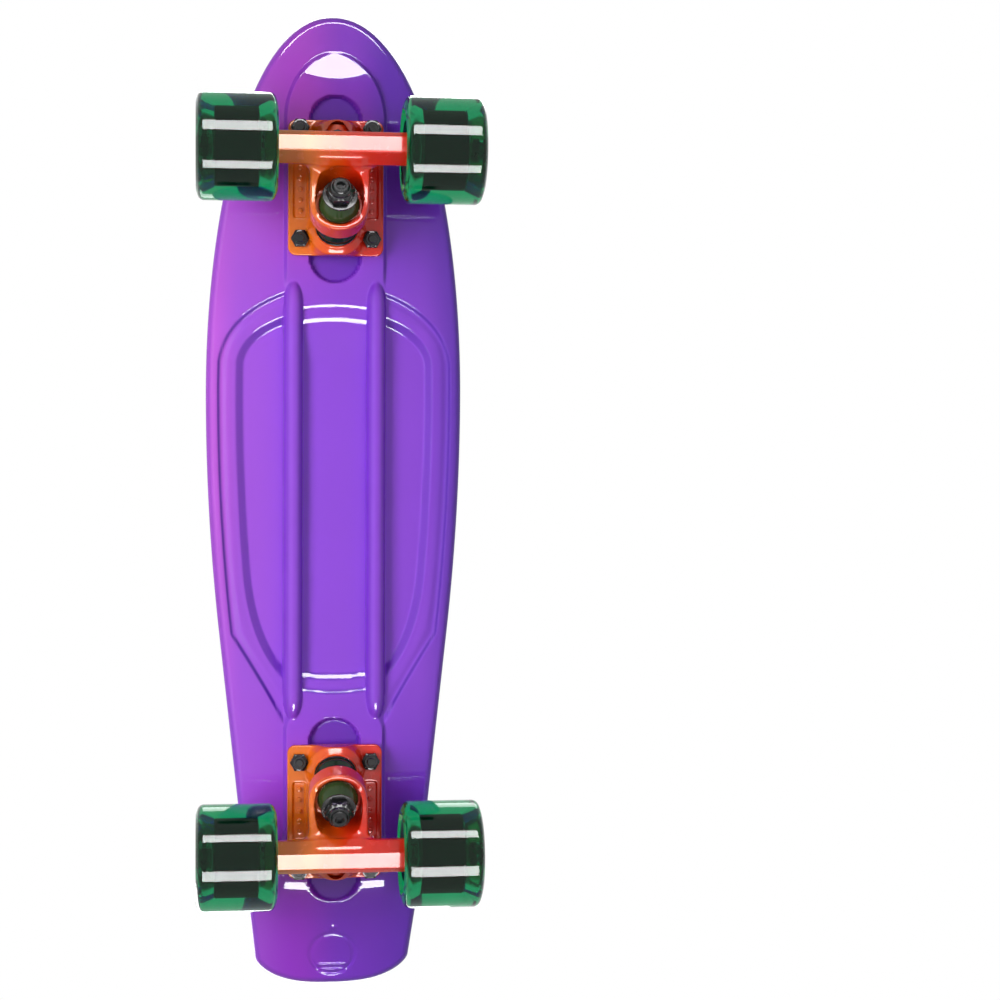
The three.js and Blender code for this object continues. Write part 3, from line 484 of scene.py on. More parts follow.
def full(points):
    """The half outline and its mirror as one polygon."""
    return np.vstack([points, points[-2:0:-1] * (1, -1)])


def ellipse_end(cx, rx, ry, sign, steps=24, power=2.0):
    """Points of a half ellipse that bulges along sign * X, from -ry to +ry."""
    angle = np.linspace(-math.pi / 2, math.pi / 2, steps)
    c = np.abs(np.cos(angle)) ** (2 / power)
    s = np.sign(np.sin(angle)) * np.abs(np.sin(angle)) ** (2 / power)
    return np.stack([cx + sign * rx * c, ry * s], 1)


RIB_Y = 24.0
RIB_R = 5.0
RIB_END = 15.0
FRAME_FRONT = FRONT_TRUCK + BASE_INNER - 20.5
FRAME_REAR = REAR_TRUCK - BASE_INNER + 20.5
FRAME_STEP = 1.9
PANEL_STEP = 3.2
ARC_SAG = 2.6


def bow(x, sag):
    """A shallow arc across the board at x, from the left rib to the right one."""
    y = np.linspace(RIB_Y, -RIB_Y, 9)
    return np.stack([x + sag * (1 - (y / RIB_Y) ** 2), y], 1)


def curve(a, b, c):
    t = np.linspace(0, 1, 14)[:, None]
    return (1 - t) ** 2 * np.array(a) + 2 * t * (1 - t) * np.array(b) + t ** 2 * np.array(c)


def recess_outline(front, rear, inset_by, slants, steps, tail_pull, tail_end):
    """Outline of one level of the recess; between the ribs its ends are set in by the steps and bowed."""
    def side(x):
        return float(half_width(x)) - inset_by

    ahead, behind = front - slants[0], rear + slants[1]
    bend = ahead - slants[0]
    top = curve((front, RIB_Y + 4), (ahead + slants[0] * 0.35, side(ahead) - 3), (bend, side(bend)))
    xs = np.linspace(bend, behind, 60)[1:-1]
    middle = np.stack([xs, half_width(xs) - inset_by], 1)
    tail = curve((behind, side(behind)), (rear + tail_pull[0], side(behind) - tail_pull[1]),
                 (rear - tail_end, RIB_Y + 4))
    left = np.vstack([top, middle, tail])
    front_arc = bow(front - steps[0], ARC_SAG)[::-1]
    rear_arc = bow(rear + steps[1], -ARC_SAG)
    return np.vstack([front_arc, [(front, RIB_Y)], left, [(rear, RIB_Y)], rear_arc,
                      [(rear, -RIB_Y)], left[::-1] * (1, -1), [(front, -RIB_Y)]])


FRAME_LINE = recess_outline(FRAME_FRONT, FRAME_REAR, 6.8, (20, 43), (9, 10.5), (17, 17), 11)
PANEL_LINE = recess_outline(FRAME_FRONT - 14, FRAME_REAR + 16, 17.5, (13, 62), (2.6, 2.3), (20, 4), 0)
PAD_HALF = 28.6
SLOT_RADIUS = 15.0
SLOT_FLOOR = PAD_Z + 4.3


def pad_line(sign, centre):
    """Outline of the raised pad under a truck."""
    past, reach, power = (1.5, 39.0, 1.85) if sign > 0 else (-2.0, 60.0, 3.0)
    inner = centre + sign * (BASE_INNER - 22)
    shoulder = centre + sign * (BASE_OUTER + past)
    end = ellipse_end(shoulder, reach, PAD_HALF, sign, 40, power)
    return np.vstack([end, [(inner, PAD_HALF), (inner, -PAD_HALF)]])


def slot_line(sign, centre):
    """Outline of the slot for the kingpin's head."""
    inner, outer = centre + sign * (BASE_INNER - 15), centre + sign * (BASE_OUTER + 15)
    a = ellipse_end(outer - sign * SLOT_RADIUS, SLOT_RADIUS, SLOT_RADIUS, sign)
    b = ellipse_end(inner + sign * SLOT_RADIUS, SLOT_RADIUS, SLOT_RADIUS, -sign)[::-1]
    return np.vstack([a, b])


def rib_surface(x, y):
    """Height of the underside of the two stiffening ribs, high where there is none."""
    front, rear = FRAME_FRONT + 7, FRAME_REAR - 7
    z = np.full(x.shape, 1e3)
    for sign in (1, -1):
        run = np.minimum(front - x, x - rear)
        share = np.clip(run / RIB_END, 0, 1)
        radius = (RIB_R + 0.6) * np.sqrt(np.clip(1 - (1 - share) ** 2, 0, 1)) + 1e-3
        across = (y - sign * RIB_Y) / radius
        body = np.sqrt(np.clip(1 - across ** 2, 0, 1)) * radius * 1.02
        centre = SHELL_Z + FRAME_STEP + 0.25 * concave(RIB_Y)
        here = np.where((np.abs(across) < 1) & (run > 0), centre - body, 1e3)
        z = np.minimum(z, here)
    return z


TAIL_RING_X = -HALF_LENGTH + 20.0
TAIL_RING_RADIUS = 13.0
TAIL_LINES = (-273.0, -276.3)
NUB_X = -HALF_LENGTH + 37.0


def pad_rise(x, y):
    """Climb of a pad; at the nose it stays level longer than the shell, then turns up to meet it."""
    nose = end_rise(x - 238 - 0.01 * y * y, 10, 22)
    return np.where(x > 0, nose, rise(x))


def depth_in(x, y, line, where):
    """How far points lie inside a line, measured only where it can matter."""
    depth = np.full(x.shape, -9.0)
    depth[where] = -sd_polygon(x[where], y[where], line)
    return depth


def underside(x, y):
    """Height of the deck's lower surface: recess, truck pads and slots, ribs and tail marks."""
    z = SHELL_Z + rise(x) + concave(y)
    near = (x < FRAME_FRONT + 12) & (x > FRAME_REAR - 12)
    frame_in = depth_in(x, y, FRAME_LINE, near)
    panel_in = depth_in(x, y, PANEL_LINE, near)
    middle = (np.abs(y) < RIB_Y).astype(float)
    z = z + (1 - middle) * FRAME_STEP * np.clip((frame_in + 0.6) / 2.3, 0, 1)
    lip, run = np.where(x > 0, 0.97, 1.85), np.where(x > 0, 2.4, 3.0)
    z = z + middle * lip * np.clip(frame_in / run, 0, 1)
    crest = smooth(frame_in, 1.8, 7.0) * (1 - smooth(panel_in, -7.0, -1.0))
    z = z + (1 - middle) * (PANEL_STEP * np.clip((panel_in + 0.8) / 5.2, 0, 1) - 0.6 * crest)
    step, run = np.where(x > 0, 1.3, 2.75), np.where(x > 0, 3.3, 4.6)
    rest = FRAME_STEP + PANEL_STEP - lip - step
    z = z + middle * (step * np.clip(panel_in / run, 0, 1) + rest * smooth(panel_in, 5.0, 28))
    for sign, centre in ((1, FRONT_TRUCK), (-1, REAR_TRUCK)):
        side = x * sign > 90
        pad = depth_in(x, y, pad_line(sign, centre), side)
        slot = depth_in(x, y, slot_line(sign, centre), side)
        hold = smooth(sign * (x - centre) - BASE_INNER, -21.0, -1.5)
        if sign < 0:
            hold = hold * (1 - smooth(-x, 217.5, 243.0))
        soft = 14 * smooth(-x, 190, 217)
        share = smooth(pad, -1.4 - soft, 1.0) * hold
        z = z * (1 - share) + np.minimum(PAD_Z + pad_rise(x, y), z) * share
        cut = smooth(slot, -0.5, 1.3)
        z = z * (1 - cut) + np.maximum(SLOT_FLOOR, z) * cut
    ribs = rib_surface(x, y)
    z = np.where(ribs < 500, smin(z, ribs, 1.6), z)
    spot = np.hypot(x - TAIL_RING_X, y)
    z = z + 0.2 * smooth(TAIL_RING_RADIUS - spot, 0, 1.3)
    z = z + 0.8 * np.exp(-((spot - TAIL_RING_RADIUS) / 0.9) ** 2)
    for line in TAIL_LINES:
        z = z - 0.5 * np.exp(-((x - line) / 0.8) ** 2) * smooth(8.8 - np.abs(y), 0, 1.2)
    return z - 0.7 * smooth(2.0 - np.hypot(x - NUB_X, y), 0, 1.4)


FIELD_LINE = inset(8.5)
FIELD_DEPTH = 1.3


def field_half(x):
    """Half width of the lowered, ribbed field of the top."""
    return np.interp(x, FIELD_LINE[::-1, 0], FIELD_LINE[::-1, 1], left=-1, right=-1)


def topside(x, y):
    z = TOP_Z + rise(x) + concave(y)
    depth = -sd_polygon(x, y, full(FIELD_LINE)[::3])
    return z - FIELD_DEPTH * smooth(depth, -0.2, 1.0)


def grid_cap(ring_points, ring_start, verts, faces, height, upward):
    """Fills a mirrored ring with rows across the board."""
    n, m = ROWS, COLUMNS
    table = np.zeros((n + 1, 2 * m + 1), int)
    table[0, :] = ring_start
    table[n, :] = ring_start + n
    table[1:n, 2 * m] = ring_start + np.arange(1, n)
    table[1:n, 0] = ring_start + 2 * n - np.arange(1, n)
    left = column_places(ring_points[1:n, 1])[:, :-1]
    ys = np.hstack([-left[:, :0:-1], left])
    xs = np.repeat(ring_points[1:n, 0][:, None], ys.shape[1], 1)
    zs = height(xs, ys)
    start = sum(len(v) for v in verts)
    table[1:n, 1:2 * m] = start + np.arange(xs.size).reshape(xs.shape)
    verts.append(np.stack([xs, ys, zs], -1).reshape(-1, 3))
    a, b = table[:-1, :-1], table[1:, :-1]
    c, d = table[1:, 1:], table[:-1, 1:]
    quads = np.stack([a, b, c, d], -1).reshape(-1, 4)
    if upward:
        quads = quads[:, ::-1]
    for q in quads.tolist():
        kept = [v for i, v in enumerate(q) if v != q[i - 1]]
        if len(kept) > 2:
            faces.append(tuple(kept))


RIM_IN = 9.6
LOW_RINGS = (8.4, 7.4, 6.8, 6.2, 5.4, 4.6)
HIGH_RINGS = (4.6, 6.0, 7.4, 8.2, 8.6, 9.0)
TIP_PRESS = 0.3
TIP_RANGE = (105.4, 107.9)


def deck_mesh():
    """The shell: rings from the lower cap round the rim to the upper cap, then the two caps."""
    turns = [(1 - math.sin(a), 1 - math.cos(a)) for a in np.linspace(0, math.pi / 2, 7)]
    loops = [(underside, d, 0.0) for d in (RIM_IN,) + LOW_RINGS]
    loops += [(underside, RIM_BOTTOM * side, RIM_BOTTOM * lift) for side, lift in turns]
    loops += [(topside, RIM_TOP * side, -RIM_TOP * lift) for side, lift in turns[::-1]]
    loops += [(topside, d, 0.0) for d in HIGH_RINGS + (RIM_IN,)]
    verts, faces = [], []
    for height, distance, lift in loops:
        x, y = full(inset(distance)).T
        verts.append(np.stack([x, y, height(x, y) + lift], 1))
    count = 2 * ROWS
    k = np.arange(count)
    n = (k + 1) % count
    for j in range(len(loops) - 1):
        a, b = j * count, (j + 1) * count
        faces += [tuple(q) for q in np.stack([a + k, a + n, b + n, b + k], 1).tolist()]
    low = inset(RIM_IN)
    grid_cap(low, 0, verts, faces, underside, False)
    grid_cap(low, (len(loops) - 1) * count, verts, faces, topside, True)
    verts = np.vstack(verts)
    # the tip of the tail is pressed down a little, so that its fine rim stays inside the solid's box
    verts[:, 2] -= TIP_PRESS * smooth(verts[:, 2], *TIP_RANGE)
    return verts, faces


RIB_CENTRE = -5.0
RIB_FIRST = 53.5
RIB_PITCH = 5.55
RIB_COUNT = 44
RIB_PROFILE = ((-1.8, -0.35), (-1.55, 0.2), (-1.25, 0.66), (-0.8, 0.9), (0, 0.97), (0.8, 0.9),
               (1.25, 0.66), (1.55, 0.2), (1.8, -0.35))
FIELD_Z = TOP_Z - FIELD_DEPTH


def rib_spans(radius):
    """Angles where an arc runs inside the field; None stands for a whole ring."""
    theta = np.linspace(-math.pi, math.pi, 7201)
    ok = np.abs(radius * np.sin(theta)) < field_half(RIB_CENTRE + radius * np.cos(theta)) + 0.1
    if ok.all():
        return [None]
    shift = int(np.argmax(~ok))
    ok, theta = np.roll(ok[:-1], -shift), np.unwrap(np.roll(theta[:-1], -shift))
    edges = np.flatnonzero(np.diff(np.concatenate([[0], ok.astype(int), [0]])))
    spans = [(theta[a], theta[b - 1]) for a, b in zip(edges[::2], edges[1::2])]
    return [span for span in spans if (span[1] - span[0]) * radius >= 3]


def rib_arc(radius, span):
    """One grip rib, a closed ring or an arc with two flat ends."""
    low, high = span or (-math.pi, math.pi)
    steps = max(4, int((high - low) * radius / 1.7))
    angles = np.linspace(low, high, steps + 1)
    if span is None:
        angles = angles[:-1]
    rows = []
    for offset, height in RIB_PROFILE:
        r = radius + offset
        px, py = RIB_CENTRE + r * np.cos(angles), r * np.sin(angles)
        base = TOP_Z + rise(px) + concave(py) - FIELD_DEPTH
        rows.append(np.stack([px, py, base + height], 1))
    grid = np.stack(rows, 1)
    count, size = grid.shape[:2]
    faces = []
    for i in range(count if span is None else count - 1):
        a, b = i * size, ((i + 1) % count) * size
        for j in range(size):
            k = (j + 1) % size
            faces.append((a + j, a + k, b + k, b + j))
    if span is not None:
        faces.append(tuple(range(size)))
        faces.append(tuple(range((count - 1) * size, count * size))[::-1])
    return grid.reshape(-1, 3), faces


def grip_ribs():
    """Arcs about one centre that fill the lowered field, cut off at its edge."""
    build = Build()
    for number in range(RIB_COUNT):
        radius = RIB_FIRST + RIB_PITCH * number
        for span in rib_spans(radius):
            build.add(*rib_arc(radius, span))
    return build.shape()


def draped_band(inner, outer, height=0.95):
    """A flat band between two radii, with rounded edges."""
    rows = [(inner, -0.4), (inner, height - 0.2), (inner + 0.25, height)]
    rows += [(r, height) for r in np.arange(inner + 3, outer - 2, 3)]
    rows += [(outer - 0.25, height), (outer, height - 0.2), (outer, -0.4)]
    verts, faces = spun(rows, 160, True)
    verts[:, 0] += RIB_CENTRE
    verts[:, 2] += FIELD_Z + concave(verts[:, 1])
    return verts, faces


def top_trim():
    """Centre disc, bands and plain ticks of the top."""
    build = Build()
    rows = [(0, 86), (23.4, 86), (23.4, 88.3), (23.1, 88.6), (20.6, 88.6), (20.3, 88.35), (19.6, 88.35),
            (19.3, 88.6), (9.6, 88.6), (9.3, 88.4), (8.7, 88.4), (8.4, 88.6), (0, 88.6)]
    build.add(*lathe(rows, move(RIB_CENTRE, 0, 0), 120))
    build.add(*draped_band(24.5, 40.4))
    build.add(*draped_band(41.5, 51.3))
    bar = [(29.8, -0.6), (35.6, -0.75), (35.6, 0.75), (29.8, 0.6)]
    faces = [(3, 2, 1, 0), (4, 5, 6, 7)]
    faces += [(i, (i + 1) % 4, (i + 1) % 4 + 4, i + 4) for i in range(4)]
    for k in range(48):
        angle = 2 * math.pi * k / 48
        verts, c, s = [], math.cos(angle), math.sin(angle)
        for height in (0.6, 1.35):
            for u, v in bar:
                x, y = RIB_CENTRE + c * u - s * v, s * u + c * v
                verts.append((x, y, FIELD_Z + concave(y) + height))
        build.add(verts, faces)
    return build.shape()


# ---- trucks
BAR = [(-2.6, -8.9), (6.4, -7.1), (9.0, -4.4), (9.0, 3.0), (3.6, 8.7), (-3.6, 8.7), (-9.0, 3.0),
       (-9.0, -1.8)]
FACET_TILT = math.atan2(1.8, 9.0)
RING = 16.6
POCKET = 13.5
STUD_ROW = 20.6
STUD_PITCH = 6.2


def hanger_field(p):
    """Signed distance of a hanger in the truck's frame: bar, kingpin ring with its wall, web and stub."""
    x, y, z = p[:, 0], p[:, 1], p[:, 2]
    k = local(p, KING)
    s = local(p, STEER)
    kx, ky, kz = k[:, 0], k[:, 1], k[:, 2]
    bar = extruded(sd_polygon(x - AXLE_OFFSET, z + AXLE_DROP, BAR), y, HANGER_WIDTH / 2, 0.5)
    plan = np.where(kx < 0, np.hypot(kx, ky), np.abs(ky))
    mouth = np.hypot(np.where(kx < 0, kx, kx * 0.78), ky)
    lower = -7.6 - 15.5 * smooth(kx, -9, 12)
    middle, half = (4.0 + lower) / 2, (4.0 - lower) / 2
    yoke = extruded(np.maximum(plan - RING, kx - 20), kz - middle, half, 1.4)
    hollow = np.maximum(mouth - POCKET, kz + RING_THICK / 2)
    yoke = smax(yoke, -hollow, 0.8)
    web_line = [(-8, -22), (2, -20), (15, -17.5), (22, -38), (20, -50), (9, -53.5), (3, -47), (-3, -35)]
    web = extruded(sd_polygon(x, z, web_line) + 1.5, y, 13.0, 2.5) - 1.0
    web = smax(web, -np.maximum(np.hypot(kx, ky) - POCKET, kz + RING_THICK / 2), 1.5)
    body = smin(smin(yoke, bar, 6.5), web, 3.0)
    facet = (x - AXLE_OFFSET) * math.sin(FACET_TILT) - (z + AXLE_DROP + 8.38) * math.cos(FACET_TILT)
    body = smax(body, facet, 0.3)
    stub = np.hypot(s[:, 1], s[:, 2]) - (5.6 + 2.4 * smooth(-s[:, 0], -34, -22))
    reach = STEER_LENGTH + 5.5 - 2.5 - 0.3
    stub = smax(stub, np.maximum(s[:, 0] - reach, 14 - s[:, 0]), 1.5)
    body = smin(body, stub, 4.0)
    room = np.maximum(plan - POCKET, 4.0 - kz)
    body = smax(body, -np.maximum(room, kz - 26), 0.6)
    body = smax(body, -np.maximum(np.hypot(kx, ky) - SEAT_RADIUS, np.maximum(kz + 4.0, -26 - kz)), 0.8)
    body = smax(body, -(np.hypot(kx, ky) - 7.0), 0.5)
    bore = np.hypot(x - AXLE_OFFSET, z + AXLE_DROP) - AXLE_BORE
    body = smax(body, -bore, 0.4)
    return body


def base_field(p):
    """Signed distance of a baseplate in the truck's frame: plate, spine, two bosses and their seats."""
    x, y, z = p[:, 0], p[:, 1], p[:, 2]
    k = local(p, KING)
    s = local(p, STEER)
    cx, hx = (BASE_INNER + BASE_OUTER) / 2, (BASE_OUTER - BASE_INNER) / 2
    flat = sd_box2(x, y, cx, 0, hx, BASE_WIDTH / 2, 5.0)
    plate = extruded(flat, z + GAP + BASE_THICK / 2, BASE_THICK / 2, 1.0)
    channel = sd_box2(x, np.abs(y), cx - 1, STUD_ROW, 16.5, 3.6, 1.5)
    channel = extruded(channel, z + 5.3, 1.3, 0.5)
    plate = smax(plate, -channel, 0.6)
    spine = extruded(sd_box2(x, z, cx, -4.6, hx - 3.0, 3.0, 2.2), y, 13.2, 2.0)
    arc = extruded(np.abs(np.hypot(x - BASE_INNER - 19, y) - 15.5) - 1.6, z + 4.6, 2.6, 0.8)
    arc = np.maximum(arc, x - BASE_INNER - 14)
    kr = np.hypot(k[:, 0], k[:, 1])
    boss = kr - (12.8 + 2.8 * smooth(k[:, 2], KING_SEAT, KING_SEAT + 5))
    boss = smax(boss, np.maximum(KING_SEAT - k[:, 2], k[:, 2] - 40), 1.0)
    sr = np.hypot(s[:, 1], s[:, 2])
    pivot = smax(sr - 10.5, np.maximum(s[:, 0] - STEER_LENGTH - 8, STEER_LENGTH - 8 - s[:, 0]), 1.2)
    foot = extruded(sd_box2(x, y, 26.6, 0, 8.6, 9.8, 3.5), z + 7.0, 5.2, 1.5)
    body = smin(plate, spine, 2.2)
    body = smin(body, arc, 1.5)
    body = smin(body, smin(pivot, foot, 3.0), 4.0)
    body = smin(body, boss, 3.0)
    body = smax(body, z + GAP, 0.2)
    body = smax(body, np.maximum(x - BASE_OUTER, BASE_INNER - x), 0.6)
    body = smax(body, -(np.maximum(kr - SEAT_RADIUS, k[:, 2] - KING_SEAT)), 0.5)
    body = smax(body, -(kr - PIN_BORE), 0.2)
    body = smax(body, -np.maximum(kr - 7.8, 23.8 - k[:, 2]), 0.3)
    cup = np.maximum(sr - 8.5, s[:, 0] - STEER_LENGTH - 5.8)
    body = smax(body, -cup, 0.3)
    for bx in (-BOLT_LONG / 2, BOLT_LONG / 2):
        hole = np.hypot(x - bx, np.abs(y) - BOLT_WIDE / 2) - 2.75
        body = smax(body, -hole, 0.3)
    return body


def lug_studs():
    """Plain round studs in the side channels of a baseplate, where a maker's letters would be."""
    build = Build()
    rows = rounded([(0, -5.5), (1.5, -5.5, 0.4), (1.5, -3.2), (0, -3.2)], 3)
    for side in (1, -1):
        for k in range(5):
            x = (BASE_INNER + BASE_OUTER) / 2 - 1 + (k - 2) * STUD_PITCH
            build.add(*lathe(rows, move(x, side * STUD_ROW, 0), 20))
    return build.shape()


def truck_pieces(end):
    truck = TRUCKS[end]
    king = truck @ KING

    def add(name, shape, tint, slot, node="", angle=34, body="deck"):
        nodes = [end + "_" + node] if node else ()
        return add_piece(end + "_" + name, shape, tint, body, nodes, angle)

    def cast(shape):
        return placed(shape[0], truck), shape[1]

    add("hanger_cast", cast(CAST["hanger"]), "truck", "truck_metal", "hanger", 40, end + "_hanger")
    add("baseplate_cast", cast(CAST["base"]), "truck", "truck_metal", "baseplate", 40)
    add("baseplate_studs", cast(lug_studs()), "truck", "truck_metal")

    head = (30 - GAP) / math.cos(TILT) - 5 - (7.5 + GAP) * math.tan(TILT)
    tip = -KING_END
    pin = [(0, tip + 2.2), (2.3, tip + 2.2), (2.3, tip + 0.3), (2.7, tip), (4.1, tip), (4.5, tip + 0.35)]
    for i in range(9):
        at = tip + 0.5 + i
        pin += [(PIN_RADIUS, at), (4.35, at + 0.5)]
    pin += [(PIN_RADIUS, tip + 10)]
    pin += rounded([(PIN_RADIUS, head), (7.5, head, 0.5), (7.5, head + 5, 0.8), (0, head + 5)], 3)
    add("kingpin_bolt", lathe(pin, king, 56), "black", "black_steel", "kingpin", 28)
    top = -KING_NUT
    nut = [(PIN_BORE, top), (6.9, top), (14.3, top - 0.6, "hex"), (14.3, top - 4.9, "hex"), (6.8, top - 5.5),
           (6.5, top - 5.6), (6.3, top - 5.9), (6.3, top - 7.6), (6.0, top - 8.2), (5.5, top - 8.5),
           (PIN_BORE, top - 8.5)]
    add("kingpin_lock_nut", lathe(nut, king, 96, True), "black", "black_steel", "kingpin_nut", 24)
    for name, radius, low in (("boardside", 12.2, BOARD_REACH), ("roadside", 9.9, -ROAD_REACH - WASHER)):
        high = low + WASHER
        rows = rounded([(PIN_BORE, low), (radius, low, 0.35), (radius, high, 0.35), (PIN_BORE, high)], 3)
        add(name + "_cup_washer", lathe(rows, king, 72, True), "black", "black_steel", name + "_washer", 28)

    low, high = RING_THICK / 2 + GAP, -RING_THICK / 2 - GAP
    board_end, road_end = low + BOARD_BUSHING, high - ROAD_BUSHING
    barrel = [(BUSHING_BORE, low), (11.7, low, 0.5), (12.0, low + 2.6, 2), (10.8, low + 7, 4),
              (12.0, low + 11.4, 2), (11.7, board_end, 0.5), (BUSHING_BORE, board_end)]
    cone = [(BUSHING_BORE, road_end), (9.0, road_end, 0.6), (11.6, high - 2.8, 1.6), (11.6, high, 0.4),
            (BUSHING_BORE, high)]
    for name, rows, far in (("boardside", barrel, board_end), ("roadside", cone, road_end)):
        soft = add(name + "_urethane", lathe(rounded(rows, 6), king, 72, True), "bushing_" + name, "bushing",
                   name + "_bushing", 30)
        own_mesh(soft)

    a, b = STEER_LENGTH - 5.5, STEER_LENGTH + 5.5
    rows = rounded([(5.9, a), (8.2, a, 0.6), (8.2, b, 1.2), (0, b)], 4)
    rows += [(0, b - 2.5), (4.35, b - 2.5), (5.9, b - 5)]
    cup = lathe(rows, truck @ STEER @ turn(Y, math.pi / 2), 56, True)
    add("pivot_cup_soft", cup, "cup", "pivot_cup", "pivot_cup", 30)


AXLE_HALF = [(4.0, 44.3), (5.6, 44.35), (5.6, 45.1), (4.0, 45.15), (4.0, 52.7), (5.6, 52.75),
             (5.6, 62.05), (4.0, 62.1), (4.0, 69.6), (5.6, 69.65), (5.6, 70.45), (4.0, 70.5)]


def axle_piece(end):
    """The rod with its speed rings and spacers; each half ends in a thread."""
    x = FRONT_AXLE if end == "front" else REAR_AXLE
    half = list(AXLE_HALF)
    at = 71.0
    while at < 77.2:
        half += [(3.95, at), (3.6, at + 0.35)]
        at += 0.7
    half += [(3.7, 77.5), (3.3, 78.0), (0, 78.0)]
    rod = lathe([(r, -y) for r, y in half[::-1]] + half, move(x, 0, WHEEL_RADIUS) @ turn(X, -math.pi / 2), 48)
    add_piece(end + "_axle_rod", rod, "steel", end + "_hanger", [end + "_axle"], 28)


# Wheel profiles as (radius, height above the wheel's middle, corner radius)
TYRE_HALF = [(16.6, 11.6), (17.6, 12.3, 0.5), (21.4, 20.9, 1.2), (23.4, 22.4, 1.2), (24.6, 22.5, 1.2),
             (30.0, 20.6, 5.0), (30.0, 0)]
CORE_HALF = [(8.5, 0), (8.5, 4.7), (11.3, 4.7), (11.3, 12.0), (17.0, 12.0, 0.8), (17.0, 0)]
OUTER_RACE = [(6.5, -2.6), (9.2, -2.6), (9.4, -3.3), (9.8, -3.5), (10.7, -3.5), (11.0, -3.2), (11.0, 3.2),
              (10.7, 3.5), (9.8, 3.5), (9.4, 3.3), (9.2, 2.6), (6.5, 2.6)]
INNER_RACE = [(AXLE_BORE, -3.5), (6.0, -3.5, 0.3), (6.0, 3.5, 0.3), (AXLE_BORE, 3.5)]
AXLE_NUT = [(AXLE_BORE, 13.4), (6.0, 13.4), (12.7, 13.9, "hex"), (12.7, 17.2, "hex"), (6.0, 17.8),
            (5.6, 18.0), (5.5, 18.8), (5.2, 19.3), (AXLE_BORE, 19.4)]
BEARING_MIDDLE = 8.5


def wheel_pieces(wheel):
    low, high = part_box(wheel + "_core")
    x, y = (low[0] + high[0]) / 2 / MM, (low[1] + high[1]) / 2 / MM
    side = 1 if y > 0 else -1
    frame_at = move(x, y, WHEEL_RADIUS) @ turn(X, -side * math.pi / 2)
    hanger = wheel.split("_")[0] + "_hanger"

    def add(name, rows, sides, tint, slot, node, angle, body=wheel + "_wheel"):
        shape = lathe(rows, frame_at, sides, True)
        add_piece(wheel + "_" + name, shape, tint, body, [wheel + "_" + node], angle)

    half = rounded(TYRE_HALF, 7)
    add("urethane", half + [(r, -h) for r, h in half[-2::-1]], 144, "wheel", "wheel", "tyre", 30)
    half = rounded(CORE_HALF, 4)
    add("hub", half + [(r, -h) for r, h in half[-2:0:-1]], 96, "core", "wheel_core", "core", 30)
    for name, out in (("outboard", 1), ("inboard", -1)):
        middle = out * BEARING_MIDDLE
        race = [(r, middle + out * h) for r, h in OUTER_RACE]
        add(name + "_ring", race, 72, "bearing", "bearing_steel", name + "_outer_race", 28)
        race = rounded([(row[0], middle + row[1]) + row[2:] for row in INNER_RACE], 3)
        add(name + "_bore", race, 56, "steel", "bearing_steel", name + "_inner_race", 28, hanger)
    add("lock_nut", AXLE_NUT, 96, "black", "black_steel", "axle_nut", 24, hanger)


def bolt_piece(name):
    """A mounting bolt with its lock nut, and the deck's round pad under its head."""
    low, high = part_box(name)
    at = move((low[0] + high[0]) / 2 / MM, (low[1] + high[1]) / 2 / MM, 0)
    seat = TOP_Z + 1.1 + float(concave(BOLT_WIDE / 2)) + GAP
    nut_top = PAD_Z - GAP - BASE_THICK - GAP
    nut_low = nut_top - 4.5
    top, end = seat + 2.8, nut_low - 1.5
    shank = [(0, end), (1.9, end), (2.3, end + 0.4)]
    z = end + 0.6
    while z < nut_top - 4.6:
        shank += [(2.4, z), (2.1, z + 0.3)]
        z += 0.6
    head = rounded([(2.4, seat), (4.9, seat, 0.2), (4.9, top - 0.9, 0.7), (4.0, top, 0.4), (2.3, top)], 3)
    socket = [(3.5, top - 0.05, "hex"), (3.2, top - 0.35, "hex"), (3.2, top - 1.6, "hex"), (0, top - 1.9)]
    build = Build()
    build.add(*lathe(shank + [(2.4, nut_low)] + head + socket, at, 48))
    nut = [(2.3, nut_top), (4.6, nut_top), (9.5, nut_top - 0.35, "hex"), (9.5, nut_low + 1.7, "hex"),
           (4.55, nut_low + 1.15), (3.9, nut_low + 1.0), (3.8, nut_low + 0.4), (3.5, nut_low), (2.3, nut_low)]
    build.add(*lathe(nut, at, 72, True))
    add_piece(name + "_with_nut", build.shape(), "black", "deck", [name], 24)
    foot, rest = TOP_Z - 3, seat - GAP
    pad = [(2.6, foot)] + rounded([(8.9, foot), (8.5, rest, 0.5), (5.6, rest, 0.3), (5.4, rest - 0.25),
                                   (2.6, rest - 0.25)], 3)
    add_piece(name + "_pad", lathe(pad, at, 56, True), "deck_top", "deck")


# ---- materials
def lin(r, g, b):
    """A linear colour from 8-bit sRGB."""
    def one(v):
        v /= 255
        return v / 12.92 if v <= 0.04045 else ((v + 0.055) / 1.055) ** 2.4
    return (one(r), one(g), one(b), 1.0)


def tints(*stops):
    """Colour stops from (place, red, green, blue), the colours in 8-bit sRGB."""
    return [(at, lin(r, g, b)) for at, r, g, b in stops]


WHITE = (1, 1, 1, 1)


